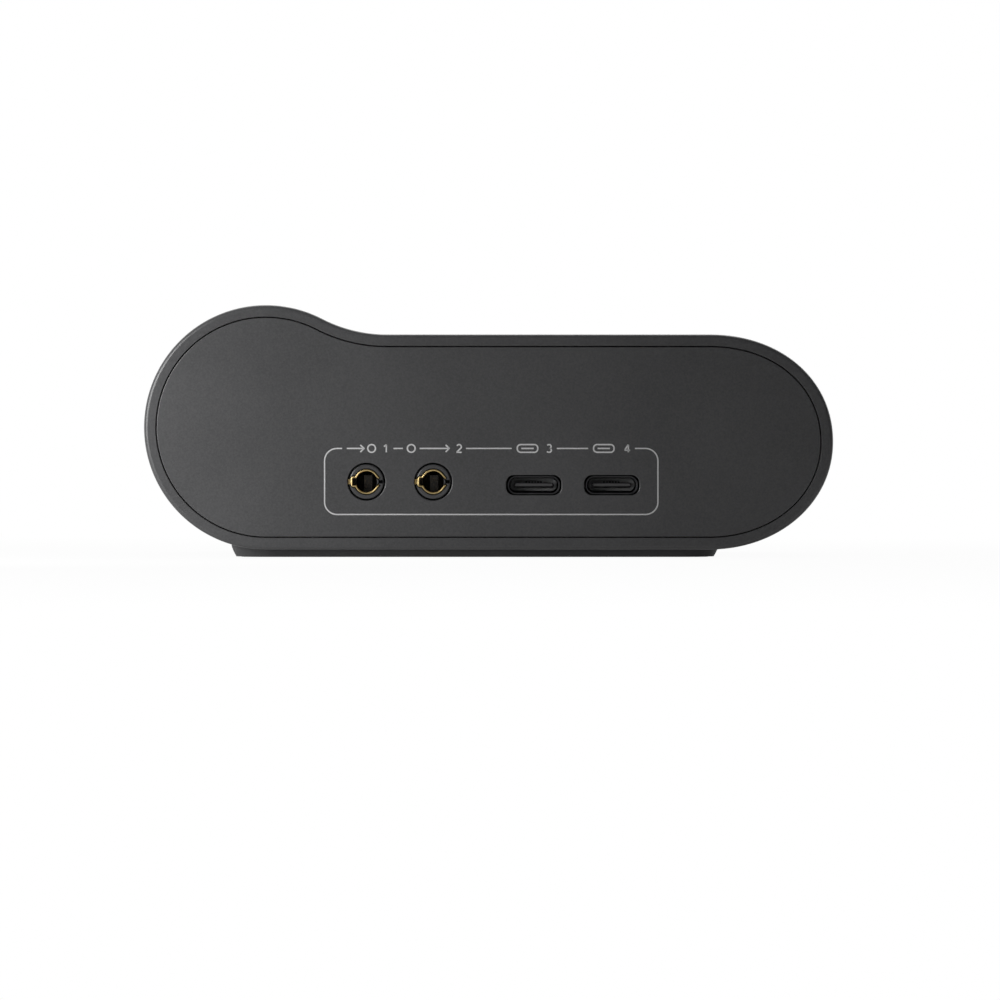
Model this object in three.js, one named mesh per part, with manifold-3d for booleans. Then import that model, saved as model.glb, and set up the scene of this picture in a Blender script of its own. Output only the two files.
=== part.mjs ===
import * as THREE from 'three';
import { mergeVertices } from 'three/addons/utils/BufferGeometryUtils.js';
import Module from 'manifold-3d';

const wasm = await Module();
wasm.setup();

// A desktop audio interface, in millimetres. Seen from the back, X runs to the right,
// Y runs from the back panel to the front panel, and Z runs up from the desk.

// Housing
const bodyWidth = 116.88;
const bodyDepth = 100;
const shellWall = 2;
const shellEdge = 0.65; // rounding of the shell's rim
const humpRise = 4.97; // height of the round hump above the flat top
const saddleRadius = 24.1; // hollow curve from the hump down to the flat top
const noseReach = 21; // length of the nose at the low end
const noseFullness = 2.1; // the power of the nose's curve: 2 is an ellipse, more is squarer
const panelThickness = 2;
const panelRib = { places: [-9, 12], width: 8, depth: 4, height: 2 }; // under the flat top

// Gaps
const seam = 0.3; // between the shell and a panel
const fit = 0.3; // between round faces that stay still
const runningGap = 0.1; // round a shaft or stem that moves
const boardGap = 0.6; // between the main board and the shell
const roofGap = 1.23; // above the microphone socket
const cutEnd = 1; // how far a cut runs past the face that it opens

// Base
const padThickness = 0.3;
const padRim = 0.5; // of the base round the pad's recess
const baseFoot = 0.06; // from the desk to the base, which stands on the pad
const baseThickness = 1; // from the pad to the flat of the shell
const baseLip = 0.8; // how far the base climbs the shell's curve
const baseSeam = 0.1;
const baseLeft = 6.35; // from the hump's centre out to the base's rim
const baseRight = 1.9; // from the nose's centre out to the base's rim
const baseFlare = 0.85; // how far each side curves out between the foot and the rim
const baseSetback = 3.15; // from each panel's face
const baseCorner = 6.9;

// Boards
const standoffHeight = 5.7;
const standoffRadius = 2.9; // to the corners of the hexagon
const boardThickness = 1.6;
const boardCorner = 1.5;
const fixingInset = 3.6; // of the board screws, from the ends of the flat floor
const fixingMargin = 17.7; // of the board screws, from the board's edges
const socketFixing = 14; // from the microphone socket back to the board screw behind it
const controlDepth = 6.8; // from the front panel back to the front board
const frontBoardMargin = 2.2;
const bossRadius = 2.6;
const bossOffsets = [[13.1, 4], [-6.5, 8.6]]; // from the volume knob's and the gain knob's axes

// Screws
const shankRadius = 1.1;
const panHeadRadius = 2.1;
const panHeadHeight = 1.3;
const panHeadCrown = 0.7; // the crown's share of the head's radius
const flatHeadRadius = 2.3;
const flatHeadHeight = 1.1;
const boardScrewLength = 5;
const floorScrewLength = 6;
const socketScrewLength = 8;
const driveSlot = { width: 0.6, length: 3, depth: 0.5 };
const footWidth = 10;
const footDepth = 9;
const footHeight = 4.6;
const footInset = 8; // of the floor screws, from the ends of the flat floor

// 3.5 mm jacks
const jackBore = 3.6;
const nozzleDiameter = 5.87;
const nozzleEdge = 0.25;
const jackHole = 6.4;
const jackBodySize = 6; // width and height of the block behind the nozzle
const jackBodyCorner = 0.5;
const jackBodyLength = 12;
const jackWall = 1; // behind the bore
const jackAxisHeight = 2.2; // above the main board
const jackShoulder = { reach: 1, thickness: 0.8, from: 3, to: 8 }; // ledges that rest on the board
const contactSheet = 0.33;
const contactGap = 0.1;
const contactLength = 5;
const contactRecess = 0.15;
const lipStart = 40; // degrees from the mouth's middle to where the rolled sleeve runs straight
const lipLength = 0.96;
const fold = { reach: 2.68, height: 1.9, corner: 0.25 }; // the sleeve's square fold
const foldTab = { reach: 3.1, width: 1 };
const keySlot = { from: 2.1, to: 2.8, height: 0.56, depth: 2 };
const leaf = { width: 1.4, foot: -2.4, head: 2.6, dip: 1.35, tip: 2.4 }; // heights from the bore's axis
const leafRun = { shoulder: 2.2, dip: 3.6, tip: 5.2 }; // lengths from the leaf's foot forwards
const leafRoom = 0.45; // from the middle of the leaf's sheet to the wall round it
const lineJackX = [-20.7, -9.38];
const headphoneX = -15.5;

// USB-C receptacles
const usbWidth = 8.94;
const usbHeight = 3.16;
const usbCorner = 1.5;
const usbSheet = 0.3;
const usbLength = 7.3;
const usbRecess = 0.8;
const usbHole = { width: 9.35, height: 3.4, corner: 1.35 };
const usbLift = 0.08; // of the receptacle's shell above the board
const usbLeg = { places: [3, 6], length: 1.2, reach: 0.7 };
const usbTongue = { width: 6.69, thickness: 0.7, length: 4.2, bevel: 0.2, bevelLength: 0.4, corner: 0.12 };
const usbRoot = { length: 2.4, corner: 1.1, gap: 0.1 };
const usbPocket = { width: 6.9, height: 1.43, depth: 1.2, corner: 0.3 };
const usbX = [7.67, 20.89];

// Microphone socket, for an XLR plug or a 6.35 mm plug
const socketInset = 3.4; // from the nose's centre
const socketSize = 24;
const socketCorner = 2.5;
const socketDepth = 28;
const socketNose = 11.5;
const socketProud = 0.6;
const socketEdge = 0.5;
const socketMouth = 9.7;
const socketMouthDepth = 14;
const insertRadius = 7.9;
const insertRecess = 1;
const insertKey = { width: 1.6, inside: 1, outside: 0.5, floor: 1 };
const plugBore = 3.3;
const plugWall = 2; // behind the plug's bore
const pinCircle = 5;
const pinHole = { radius: 1.35, depth: 10 };
const pinContact = { sheet: 0.35, recess: 0.6, end: 9.5 };
const socketScrewSpacing = 19.8;

// Rotary controls
const controlRise = 12; // height of the gain knob's axis above the main board
const gainX = 8.5;
const rotary = { width: 11, corner: 0.8, shaftSeat: 2 };
const shaftRadius = 3;
const bushingRadius = 3.9;
const bushingReach = 3;
const nutRadius = 5.8;
const nutThickness = 2;
const flatStart = 0.5; // of the shaft's flat, from the bushing's end
const volumeKnob = { radius: 15, height: 14, wall: 2 };
const gainKnob = { radius: 7, height: 12.5, wall: 1 };
const knobGap = 0.6; // from the panel to the knob, and from the bushing to its hub
const knobTaper = 0.3;
const knobEdge = 1.2;
const knobDish = 0.4;
const hubWall = 1.6;
const pointer = { width: 1, depth: 0.9 };

// Buttons
const buttonX = -5;
const buttonSpacing = 11;
const buttonRadius = 3.4;
const buttonGap = 0.2;
const buttonFlange = 1;
const buttonEdge = 0.4;
const stemRadius = 1.3;
const stemSeat = 0.6;
const pushSwitch = { size: 6, height: 3.5, corner: 0.5 };
const muteProud = 1.4;
const muteTravel = 0.6;
const phantomProud = 2.2;
const phantomTravel = 1.5;

// Parts on the main board
const chipTaper = 0.2;
const chipCorner = 0.3;
const processor = { side: 14, height: 1.4, x: 8, y: -18 };
const converter = { side: 7, height: 1, x: -15, y: -22 };
const amplifier = { side: 5, height: 1, x: -14, y: 22 };
const capacitor = { radius: 4, height: 10, groove: 0.3, inset: 3.6, y: 12 }; // from the hump's centre
const crystal = { length: 10, width: 4, height: 3.4, corner: 1.9, x: -4, y: -12 };
const inductor = { side: 12, height: 6, corner: 2.5, inset: 1.6, y: -12 }; // from the hump's centre
const boardLink = { width: 14, depth: 3, height: 4, x: 6 };

// Sides of a round form: of the large ones, the middling ones and the small ones
const largeSides = 36;
const roundSides = 24;
const smallSides = 12;

// Places that follow from the sizes above
const back = -bodyDepth / 2;
const front = bodyDepth / 2;
const underside = padThickness + baseThickness;
const floorZ = underside + shellWall;
const boardBottom = floorZ + standoffHeight;
const boardTop = boardBottom + boardThickness;
const flatTop = boardTop + socketSize + roofGap + shellWall;
const humpRadius = (flatTop + humpRise - underside) / 2;
const humpX = humpRadius - bodyWidth / 2;
const humpZ = underside + humpRadius;
const noseX = bodyWidth / 2 - noseReach;
const noseHalf = (flatTop - underside) / 2;
const noseZ = underside + noseHalf;
const jackZ = boardTop + jackAxisHeight;
const nozzleEnd = panelThickness + seam;
const usbZ = boardTop + usbLift + usbHeight / 2;
const socketX = noseX - socketInset;
const socketZ = boardTop + socketSize / 2;
const controlZ = boardTop + controlRise;
const buttonZ = [controlZ + buttonSpacing / 2, controlZ - buttonSpacing / 2];
const boardEdge = bodyDepth / 2 - panelThickness - seam;
const frontBoardFace = -panelThickness - controlDepth; // from the front panel's face
const footX = [humpX + footInset, noseX - footInset];
const footMiddle = bodyDepth / 2 - panelThickness - footDepth / 2;
const floorScrewPlaces = [-1, 1].flatMap((side) => footX.map((x) => [x, side * footMiddle]));
const boardScrewPlaces = [
  [humpX + fixingInset, fixingMargin - boardEdge],
  [noseX - fixingInset, fixingMargin - boardEdge],
  [humpX + fixingInset, boardEdge - fixingMargin],
  [noseX - fixingInset, front - socketDepth - socketFixing],
];
const bossPlaces = [[humpX, humpZ], [gainX, controlZ]].map(([x, z], i) => (
  [x + bossOffsets[i][0], z + bossOffsets[i][1]]
));
const socketScrewPlaces = [-1, 1].map((side) => (
  [side * socketScrewSpacing / 2, -side * socketScrewSpacing / 2]
));

// Materials
function material(color, roughness, metalness) {
  return new THREE.MeshStandardMaterial({ color, roughness, metalness });
}
const satinPaint = material(0x4c4c4e, 0.55, 0.3);
const basePlastic = material(0x3c3c3e, 0.6, 0);
const rubber = material(0x161617, 0.9, 0);
const nozzlePlastic = material(0x4a4a4c, 0.5, 0);
const blackPlastic = material(0x0e0e0f, 0.45, 0);
const gilt = material(0xb8924a, 0.3, 1);
const blackSteel = material(0x141415, 0.35, 0.8);
const steel = material(0xa8a8aa, 0.35, 1);
const brass = material(0xb59a5a, 0.4, 1);
const boardMask = material(0x14351f, 0.5, 0);
const knobPaint = material(0x38383a, 0.45, 0.5);

// A closed solid from a geometry, ready to join and cut.
function solidOf(geometry) {
  const bare = geometry.clone();
  bare.deleteAttribute('normal');
  bare.deleteAttribute('uv');
  const merged = mergeVertices(bare, 1e-4);
  const mesh = new wasm.Mesh({
    numProp: 3,
    vertProperties: merged.attributes.position.array,
    triVerts: new Uint32Array(merged.index.array),
  });
  return new wasm.Manifold(mesh);
}

function geometryOf(solid) {
  const mesh = solid.getMesh();
  const geometry = new THREE.BufferGeometry();
  geometry.setAttribute('position', new THREE.BufferAttribute(mesh.vertProperties, 3));
  geometry.setIndex(new THREE.BufferAttribute(mesh.triVerts, 1));
  return geometry;
}

function join(...geometries) {
  return geometryOf(geometries.map(solidOf).reduce((whole, next) => whole.add(next)));
}

function cut(geometry, ...tools) {
  return geometryOf(tools.map(solidOf).reduce((rest, tool) => rest.subtract(tool), solidOf(geometry)));
}

function piece(name, geometry, finish) {
  const faceted = geometry.index ? geometry.toNonIndexed() : geometry;
  faceted.computeVertexNormals();
  const mesh = new THREE.Mesh(faceted, finish);
  mesh.name = name;
  return mesh;
}

// A block between two limits on each axis, given in either order.
function block(x, y, z) {
  const size = [x, y, z].map(([a, b]) => Math.abs(b - a));
  const middle = [x, y, z].map(([a, b]) => (a + b) / 2);
  return new THREE.BoxGeometry(...size).translate(...middle);
}

function across(middle, width) {
  return [middle - width / 2, middle + width / 2];
}

// An outline drawn in X and Z, carried along Y.
function alongY(outline, [low, high], curveSegments = 2) {
  const depth = high - low;
  const geometry = new THREE.ExtrudeGeometry(outline, { depth, bevelEnabled: false, curveSegments });
  return geometry.rotateX(Math.PI / 2).translate(0, high, 0);
}

// An outline drawn in X and Y, carried along Z.
function alongZ(outline, [low, high], curveSegments = 2) {
  const depth = high - low;
  const geometry = new THREE.ExtrudeGeometry(outline, { depth, bevelEnabled: false, curveSegments });
  return geometry.translate(0, 0, low);
}

// An outline drawn in Y and Z, carried along X to both sides of the middle.
function alongX(outline, width) {
  const geometry = new THREE.ExtrudeGeometry(outline, { depth: width, bevelEnabled: false });
  return geometry.translate(0, 0, -width / 2).rotateY(Math.PI / 2).rotateX(Math.PI / 2);
}

function rodY(radius, [low, high], x = 0, z = 0, sides = roundSides) {
  const rod = new THREE.CylinderGeometry(radius, radius, high - low, sides);
  return rod.translate(x, (low + high) / 2, z);
}

function rodZ(radius, [low, high], x = 0, y = 0) {
  const rod = new THREE.CylinderGeometry(radius, radius, high - low, smallSides);
  return rod.rotateX(Math.PI / 2).translate(x, y, (low + high) / 2);
}

// A profile of radius and height turned round the Y axis.
function turned(profile, sides) {
  return new THREE.LatheGeometry(profile.map(([r, y]) => new THREE.Vector2(r, y)), sides);
}

function roundedRect(width, height, radius) {
  const x = width / 2 - radius;
  const y = height / 2 - radius;
  const shape = new THREE.Shape();
  [[1, -1], [1, 1], [-1, 1], [-1, -1]].forEach(([sideX, sideY], corner) => {
    const start = (corner - 1) * Math.PI / 2;
    shape.absarc(sideX * x, sideY * y, radius, start, start + Math.PI / 2);
  });
  shape.closePath();
  return shape;
}

// A solid through outlines with the same number of points, each at its own height.
function loft(sections, divisions) {
  const rings = sections.map(([shape]) => shape.getPoints(divisions).slice(0, -1));
  const count = rings[0].length;
  const points = rings.flatMap((ring, i) => ring.flatMap((p) => [p.x, p.y, sections[i][1]]));
  const last = count * (sections.length - 1);
  const caps = THREE.ShapeUtils.triangulateShape(rings[0], []);
  const index = caps.flatMap(([a, b, c]) => [c, b, a, a + last, b + last, c + last]);
  for (let start = 0; start < last; start += count) {
    for (let i = 0; i < count; i += 1) {
      const here = start + i;
      const next = start + (i + 1) % count;
      index.push(here, next, next + count, here, next + count, here + count);
    }
  }
  const geometry = new THREE.BufferGeometry();
  geometry.setAttribute('position', new THREE.Float32BufferAttribute(points, 3));
  geometry.setIndex(index);
  return geometry;
}

// Points on an arc of an ellipse, both ends included. A power above 2 makes it squarer.
function arc(x, y, reach, rise, from, to, steps, power = 2) {
  const share = (value) => Math.sign(value) * Math.abs(value) ** (2 / power);
  return Array.from({ length: steps + 1 }, (_, i) => {
    const angle = from + (to - from) * i / steps;
    return new THREE.Vector2(x + reach * share(Math.cos(angle)), y + rise * share(Math.sin(angle)));
  });
}

// The outline of a bent sheet from the line through its middle, grown by a gap all round.
function strip(line, sheet, gap = 0) {
  const last = line.length - 1;
  const sides = line.map((point, i) => {
    const before = point.clone().sub(line[Math.max(i - 1, 0)]).normalize();
    const after = line[Math.min(i + 1, last)].clone().sub(point).normalize();
    const along = before.clone().add(after).normalize();
    const reach = (sheet / 2 + gap) / (i > 0 ? before : after).dot(along);
    const middle = point.clone();
    if (i === 0) middle.addScaledVector(along, -gap);
    if (i === last) middle.addScaledVector(along, gap);
    const side = new THREE.Vector2(-along.y, along.x);
    return [reach, -reach].map((offset) => middle.clone().addScaledVector(side, offset));
  });
  return new THREE.Shape([...sides.map(([left]) => left), ...sides.map(([, right]) => right).reverse()]);
}

// The housing's outline seen from the back, drawn in by an inset: flat underside, full
// nose, flat top, hollow saddle that meets the top and the hump at a tangent, and the
// round hump.
function bodyOutline(inset) {
  const saddleZ = flatTop + saddleRadius;
  const centres = humpRadius + saddleRadius;
  const saddleX = humpX + Math.sqrt(centres ** 2 - (saddleZ - humpZ) ** 2);
  const lean = Math.atan2(saddleZ - humpZ, saddleX - humpX);
  const quarter = Math.PI / 2;
  const saddle = saddleRadius + inset;
  const hump = humpRadius - inset;
  return new THREE.Shape([
    ...arc(noseX, noseZ, noseReach - inset, noseHalf - inset, -quarter, quarter, 22, noseFullness),
    ...arc(saddleX, saddleZ, saddle, saddle, -quarter, lean - Math.PI, 6),
    ...arc(humpX, humpZ, hump, hump, lean, 3 * quarter, 26).slice(1),
  ]);
}

// How far the hump and the nose reach inside the shell at a height.
function innerReach(z) {
  const humpReach = Math.sqrt((humpRadius - shellWall) ** 2 - (humpZ - z) ** 2);
  const share = (noseZ - z) / (noseHalf - shellWall);
  const reach = (noseReach - shellWall) * (1 - share ** noseFullness) ** (1 / noseFullness);
  return { left: humpX - humpReach, right: noseX + reach };
}

function housingShell() {
  const outer = new THREE.ExtrudeGeometry(bodyOutline(0), {
    depth: bodyDepth - 2 * shellEdge,
    bevelThickness: shellEdge,
    bevelSize: shellEdge,
    bevelOffset: -shellEdge,
    bevelSegments: 2,
  });
  outer.rotateX(Math.PI / 2).translate(0, front - shellEdge, 0);
  const room = alongY(bodyOutline(shellWall), [back - cutEnd, front + cutEnd]);
  const holes = floorScrewPlaces.flatMap(([x, y]) => [
    rodZ(shankRadius + fit, [underside - cutEnd, floorZ + cutEnd], x, y),
    new THREE.CylinderGeometry(shankRadius + fit, flatHeadRadius + fit, flatHeadHeight, smallSides)
      .rotateX(Math.PI / 2).translate(x, y, underside + flatHeadHeight / 2),
  ]);
  return piece('housing_shell', cut(outer, room, ...holes), satinPaint);
}

// An end panel without its connector holes. side is -1 at the back and 1 at the front.
// Two feet stand on the shell's floor for the floor screws, and two ribs steady the top.
function panelBlank(side) {
  const face = side * bodyDepth / 2;
  const middle = face - side * panelThickness / 2;
  const inner = face - side * panelThickness;
  const plate = alongY(bodyOutline(shellWall + seam), [Math.min(face, inner), Math.max(face, inner)]);
  const feet = footX.map((x) => block(
    across(x, footWidth),
    [middle, inner - side * footDepth],
    [floorZ, floorZ + footHeight],
  ));
  const roof = flatTop - shellWall - seam;
  const ribs = panelRib.places.map((x) => block(
    across(x, panelRib.width),
    [middle, inner - side * panelRib.depth],
    [roof - panelRib.height, roof],
  ));
  const bores = footX.map((x) => (
    rodZ(shankRadius + fit, [floorZ - cutEnd, floorZ + footHeight + cutEnd], x, side * footMiddle)
  ));
  return cut(join(plate, ...feet, ...ribs), ...bores);
}

function backPanel() {
  const through = [back - cutEnd, back + panelThickness + cutEnd];
  const slot = roundedRect(usbHole.width, usbHole.height, usbHole.corner);
  const jackHoles = lineJackX.map((x) => rodY(jackHole / 2, through, x, jackZ));
  const usbHoles = usbX.map((x) => alongY(slot, through, 3).translate(x, 0, usbZ));
  return piece('back_panel', cut(panelBlank(-1), ...jackHoles, ...usbHoles), satinPaint);
}

function frontPanel() {
  const through = [front - panelThickness - cutEnd, front + cutEnd];
  const screwHole = shankRadius + fit;
  const boardFront = front + frontBoardFace;
  const holes = [
    rodY(jackHole / 2, through, headphoneX, jackZ),
    rodY(bushingRadius + fit, through, humpX, humpZ),
    rodY(bushingRadius + fit, through, gainX, controlZ),
    rodY(socketNose + fit, through, socketX, socketZ, largeSides),
    ...buttonZ.map((z) => rodY(buttonRadius + buttonGap, through, buttonX, z)),
    ...socketScrewPlaces.map(([x, z]) => rodY(screwHole, through, socketX - x, socketZ + z, smallSides)),
  ];
  const bosses = bossPlaces.map(([x, z]) => (
    rodY(bossRadius, [boardFront, front - panelThickness / 2], x, z, smallSides)
  ));
  const bores = bossPlaces.map(([x, z]) => (
    rodY(screwHole, [boardFront - cutEnd, front - panelThickness], x, z, smallSides)
  ));
  const blank = join(panelBlank(1), ...bosses);
  return piece('front_panel', cut(blank, ...holes, ...bores), satinPaint);
}

// The base's sides flare out with height, most near the foot, and its top is bedded to
// the shell. The pad is glued in a recess under it and hides the floor screws.
function basePlate() {
  const left = humpX - baseLeft;
  const right = noseX + baseRight;
  const width = right - left;
  const depth = bodyDepth - 2 * baseSetback;
  const outline = (inset) => roundedRect(width - 2 * inset, depth - 2 * inset, baseCorner - inset);
  const rim = underside + baseLip;
  const sections = [0, 0.3, 0.6, 1].map((share) => (
    [outline(baseFlare * (1 - share) ** 1.5), baseFoot + (rim - baseFoot) * share]
  ));
  const body = loft(sections, 3);
  const recess = alongZ(outline(baseFlare + padRim), [-cutEnd, padThickness], 3);
  const pad = alongZ(outline(baseFlare + padRim + fit), [0, padThickness], 3);
  [body, recess, pad].forEach((geometry) => geometry.translate((left + right) / 2, 0, 0));
  const bed = alongY(bodyOutline(-baseSeam), [back - cutEnd, front + cutEnd]);
  return [
    piece('base_plate', cut(body, bed, recess), basePlastic),
    piece('base_pad', pad, rubber),
  ];
}

// A pan head screw that points down, with the seat of its head at zero.
function panScrew(length) {
  return turned([
    [0, -length],
    [shankRadius, -length],
    [shankRadius, 0],
    [panHeadRadius, 0],
    [panHeadRadius, panHeadHeight / 2],
    [panHeadRadius * panHeadCrown, panHeadHeight],
    [0, panHeadHeight],
  ], smallSides);
}

// A countersunk screw that points up, with its flat head at zero.
function flatScrew() {
  return turned([
    [0, 0],
    [flatHeadRadius, 0],
    [shankRadius, flatHeadHeight],
    [shankRadius, floorScrewLength],
    [0, floorScrewLength],
  ], smallSides);
}

function fixings() {
  const meshes = [];
  boardScrewPlaces.forEach(([x, y], i) => {
    const post = new THREE.CylinderGeometry(standoffRadius, standoffRadius, standoffHeight, 6)
      .rotateX(Math.PI / 2).translate(0, 0, standoffHeight / 2);
    const bore = rodZ(shankRadius + fit, [-cutEnd, standoffHeight + cutEnd]);
    const standoff = piece(`standoff_${i + 1}`, cut(post, bore), brass);
    standoff.position.set(x, y, floorZ);
    const screw = piece(`board_screw_${i + 1}`, panScrew(boardScrewLength), steel);
    screw.position.set(x, y, boardTop);
    screw.rotation.x = Math.PI / 2;
    meshes.push(standoff, screw);
  });
  floorScrewPlaces.forEach(([x, y], i) => {
    const screw = piece(`floor_screw_${i + 1}`, flatScrew(), steel);
    screw.position.set(x, y, underside);
    screw.rotation.x = Math.PI / 2;
    meshes.push(screw);
  });
  return meshes;
}

function mainBoard() {
  const reach = innerReach(boardBottom);
  const left = reach.left + boardGap;
  const right = reach.right - boardGap;
  const plan = roundedRect(right - left, 2 * boardEdge, boardCorner);
  const board = alongZ(plan, [boardBottom, boardTop]).translate((left + right) / 2, 0, 0);
  const notchWidth = jackBodySize + 2 * fit;
  const notchDepth = jackBodyLength + fit;
  const through = [boardBottom - cutEnd, boardTop + cutEnd];
  const backEdge = [-boardEdge - cutEnd, notchDepth - boardEdge];
  const frontEdge = [boardEdge - notchDepth, boardEdge + cutEnd];
  const notches = [
    ...lineJackX.map((x) => block(across(x, notchWidth), backEdge, through)),
    block(across(headphoneX, notchWidth), frontEdge, through),
  ];
  const holes = boardScrewPlaces.map(([x, y]) => rodZ(shankRadius + fit, through, x, y));
  return piece('main_board', cut(board, ...notches, ...holes), boardMask);
}

// The front board stands behind the front panel on two bosses. Its round end follows the
// hump, and a notch clears the headphone jack.
function frontBoard() {
  const low = boardTop + fit;
  const high = flatTop - shellWall - frontBoardMargin;
  const radius = humpRadius - shellWall - frontBoardMargin;
  const right = gainX + rotary.width / 2 + frontBoardMargin;
  const upper = Math.asin((high - humpZ) / radius);
  const lower = Math.PI + Math.asin((humpZ - low) / radius);
  const outline = new THREE.Shape([
    new THREE.Vector2(right, low),
    new THREE.Vector2(right, high),
    ...arc(humpX, humpZ, radius, radius, upper, lower, 16),
  ]);
  const limits = [front + frontBoardFace - boardThickness, front + frontBoardFace];
  const through = [limits[0] - cutEnd, limits[1] + cutEnd];
  const notchTop = jackZ + jackBodySize / 2 + fit;
  const notch = block(across(headphoneX, jackBodySize + 2 * fit), through, [low - cutEnd, notchTop]);
  const holes = bossPlaces.map(([x, z]) => rodY(shankRadius + fit, through, x, z, smallSides));
  const board = piece('front_board', cut(alongY(outline, limits), notch, ...holes), boardMask);
  const screws = bossPlaces.map(([x, z], i) => {
    const screw = piece(`front_board_screw_${i + 1}`, panScrew(boardScrewLength), steel);
    screw.position.set(x, limits[0], z);
    screw.rotation.x = Math.PI;
    return screw;
  });
  return [board, ...screws];
}

// The line through the middle of the rolled sleeve contact's sheet, seen along the jack's
// axis: two straight lips beside the open mouth, a round back and a square fold in it.
function sleeveLine() {
  const radius = jackBore / 2 + contactSheet / 2;
  const reach = contactSheet / 2 - fold.reach;
  const half = (fold.height - contactSheet) / 2;
  const start = lipStart * Math.PI / 180;
  const upper = arc(0, 0, radius, radius, start, Math.PI - Math.asin(half / radius), 9);
  const lip = upper[0].clone().add(
    new THREE.Vector2(Math.sin(start), -Math.cos(start)).multiplyScalar(lipLength),
  );
  const side = [
    lip,
    ...upper,
    new THREE.Vector2(reach + fold.corner, half),
    new THREE.Vector2(reach, half - fold.corner),
  ];
  return [...side, ...side.map((point) => new THREE.Vector2(point.x, -point.y)).reverse()];
}

// A 3.5 mm jack with its mouth at zero, looking towards -Y. The nozzle is grooved for the
// sleeve contact, slotted for its tab on one side and keyed on the other. The plug's tip
// meets a leaf spring that rises behind the bore and dips into it from a pocket above.
function jackModule(name) {
  const end = nozzleEnd + jackBodyLength;
  const boreEnd = end - jackWall;
  const half = jackBodySize / 2;
  const radius = nozzleDiameter / 2;
  const sleeveEnd = contactRecess + contactLength;
  const { reach, thickness, from, to } = jackShoulder;
  const body = join(
    turned([
      [0, 0],
      [radius - nozzleEdge, 0],
      [radius, nozzleEdge],
      [radius, nozzleEnd + cutEnd],
      [0, nozzleEnd + cutEnd],
    ], roundSides),
    alongY(roundedRect(jackBodySize, jackBodySize, jackBodyCorner), [nozzleEnd, end]),
    block(across(0, jackBodySize + 2 * reach), [from, to], [-jackAxisHeight, thickness - jackAxisHeight]),
  );
  const leafY = boreEnd - leafRoom;
  const room = across(0, leaf.width + 2 * fit);
  const tools = [
    rodY(jackBore / 2, [-cutEnd, boreEnd]),
    alongY(strip(sleeveLine(), contactSheet, contactGap), [-cutEnd, sleeveEnd + fit]),
    block(
      [contactSheet / 2 - fold.reach, 0],
      [-cutEnd, sleeveEnd + fit],
      across(0, fold.height - contactSheet),
    ),
    block(
      [-half, contactSheet - fold.reach],
      [-cutEnd, contactRecess + contactSheet + fit],
      across(0, foldTab.width + 2 * contactGap),
    ),
    block([keySlot.from, keySlot.to], [-cutEnd, keySlot.depth], across(0, keySlot.height)),
    block(room, [leafY - leafRun.tip - leafRoom, boreEnd], [leaf.dip - leafRoom, half + cutEnd]),
    block(room, [leafY - leafRoom, boreEnd], [leaf.foot - fit, half]),
  ];
  const sleeve = join(
    alongY(strip(sleeveLine(), contactSheet), [contactRecess, sleeveEnd]),
    block(
      [-foldTab.reach, contactSheet / 2 - fold.reach],
      [contactRecess, contactRecess + contactSheet],
      across(0, foldTab.width),
    ),
  );
  const leafLine = [
    new THREE.Vector2(leafY, leaf.foot),
    new THREE.Vector2(leafY, leaf.head),
    new THREE.Vector2(leafY - leafRun.shoulder, leaf.head),
    new THREE.Vector2(leafY - leafRun.dip, leaf.dip),
    new THREE.Vector2(leafY - leafRun.tip, leaf.tip),
  ];
  const group = new THREE.Group();
  group.add(
    piece(`${name}_jack`, cut(body, ...tools), nozzlePlastic),
    piece(`${name}_sleeve_contact`, sleeve, gilt),
    piece(`${name}_tip_contact`, alongX(strip(leafLine, contactSheet), leaf.width), gilt),
  );
  return group;
}

// A USB-C receptacle with its mouth behind zero, looking towards -Y: a drawn shell with
// four legs, and a bevelled tongue that stands in a pocket of the root behind it.
function usbReceptacle(number) {
  const mouth = usbRecess;
  const end = mouth + usbLength;
  const roomWidth = usbWidth - 2 * usbSheet;
  const roomHeight = usbHeight - 2 * usbSheet;
  const can = alongY(roundedRect(usbWidth, usbHeight, usbCorner), [mouth, end], 4);
  const room = alongY(
    roundedRect(roomWidth, roomHeight, usbCorner - usbSheet),
    [mouth - cutEnd, end + cutEnd],
    4,
  );
  const legs = usbLeg.places.flatMap((y) => [-1, 1].map((side) => block(
    [side * (usbWidth / 2 - usbCorner), side * (usbWidth / 2 + usbLeg.reach)],
    [mouth + y, mouth + y + usbLeg.length],
    [-usbLift - usbHeight / 2, usbSheet - usbHeight / 2],
  )));
  const rootEnd = end - usbRoot.gap;
  const rootStart = rootEnd - usbRoot.length;
  const tip = rootStart - usbTongue.length;
  const { width, thickness, bevel, bevelLength, corner } = usbTongue;
  const root = cut(
    alongY(
      roundedRect(roomWidth - 2 * usbRoot.gap, roomHeight - 2 * usbRoot.gap, usbRoot.corner),
      [rootStart, rootEnd],
      3,
    ),
    alongY(
      roundedRect(usbPocket.width, usbPocket.height, usbPocket.corner),
      [rootStart - cutEnd, rootStart + usbPocket.depth],
      1,
    ),
  );
  const blade = roundedRect(width, thickness, corner);
  const tongue = loft([
    [roundedRect(width - 2 * bevel, thickness - 2 * bevel, corner), tip],
    [blade, tip + bevelLength],
    [blade, (rootStart + usbPocket.depth + rootEnd) / 2],
  ], 1).rotateX(-Math.PI / 2);
  const group = new THREE.Group();
  group.add(
    piece(`usb_${number}_shell`, cut(join(can, ...legs), room), blackSteel),
    piece(`usb_${number}_tongue`, join(root, tongue), blackPlastic),
  );
  return group;
}

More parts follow.
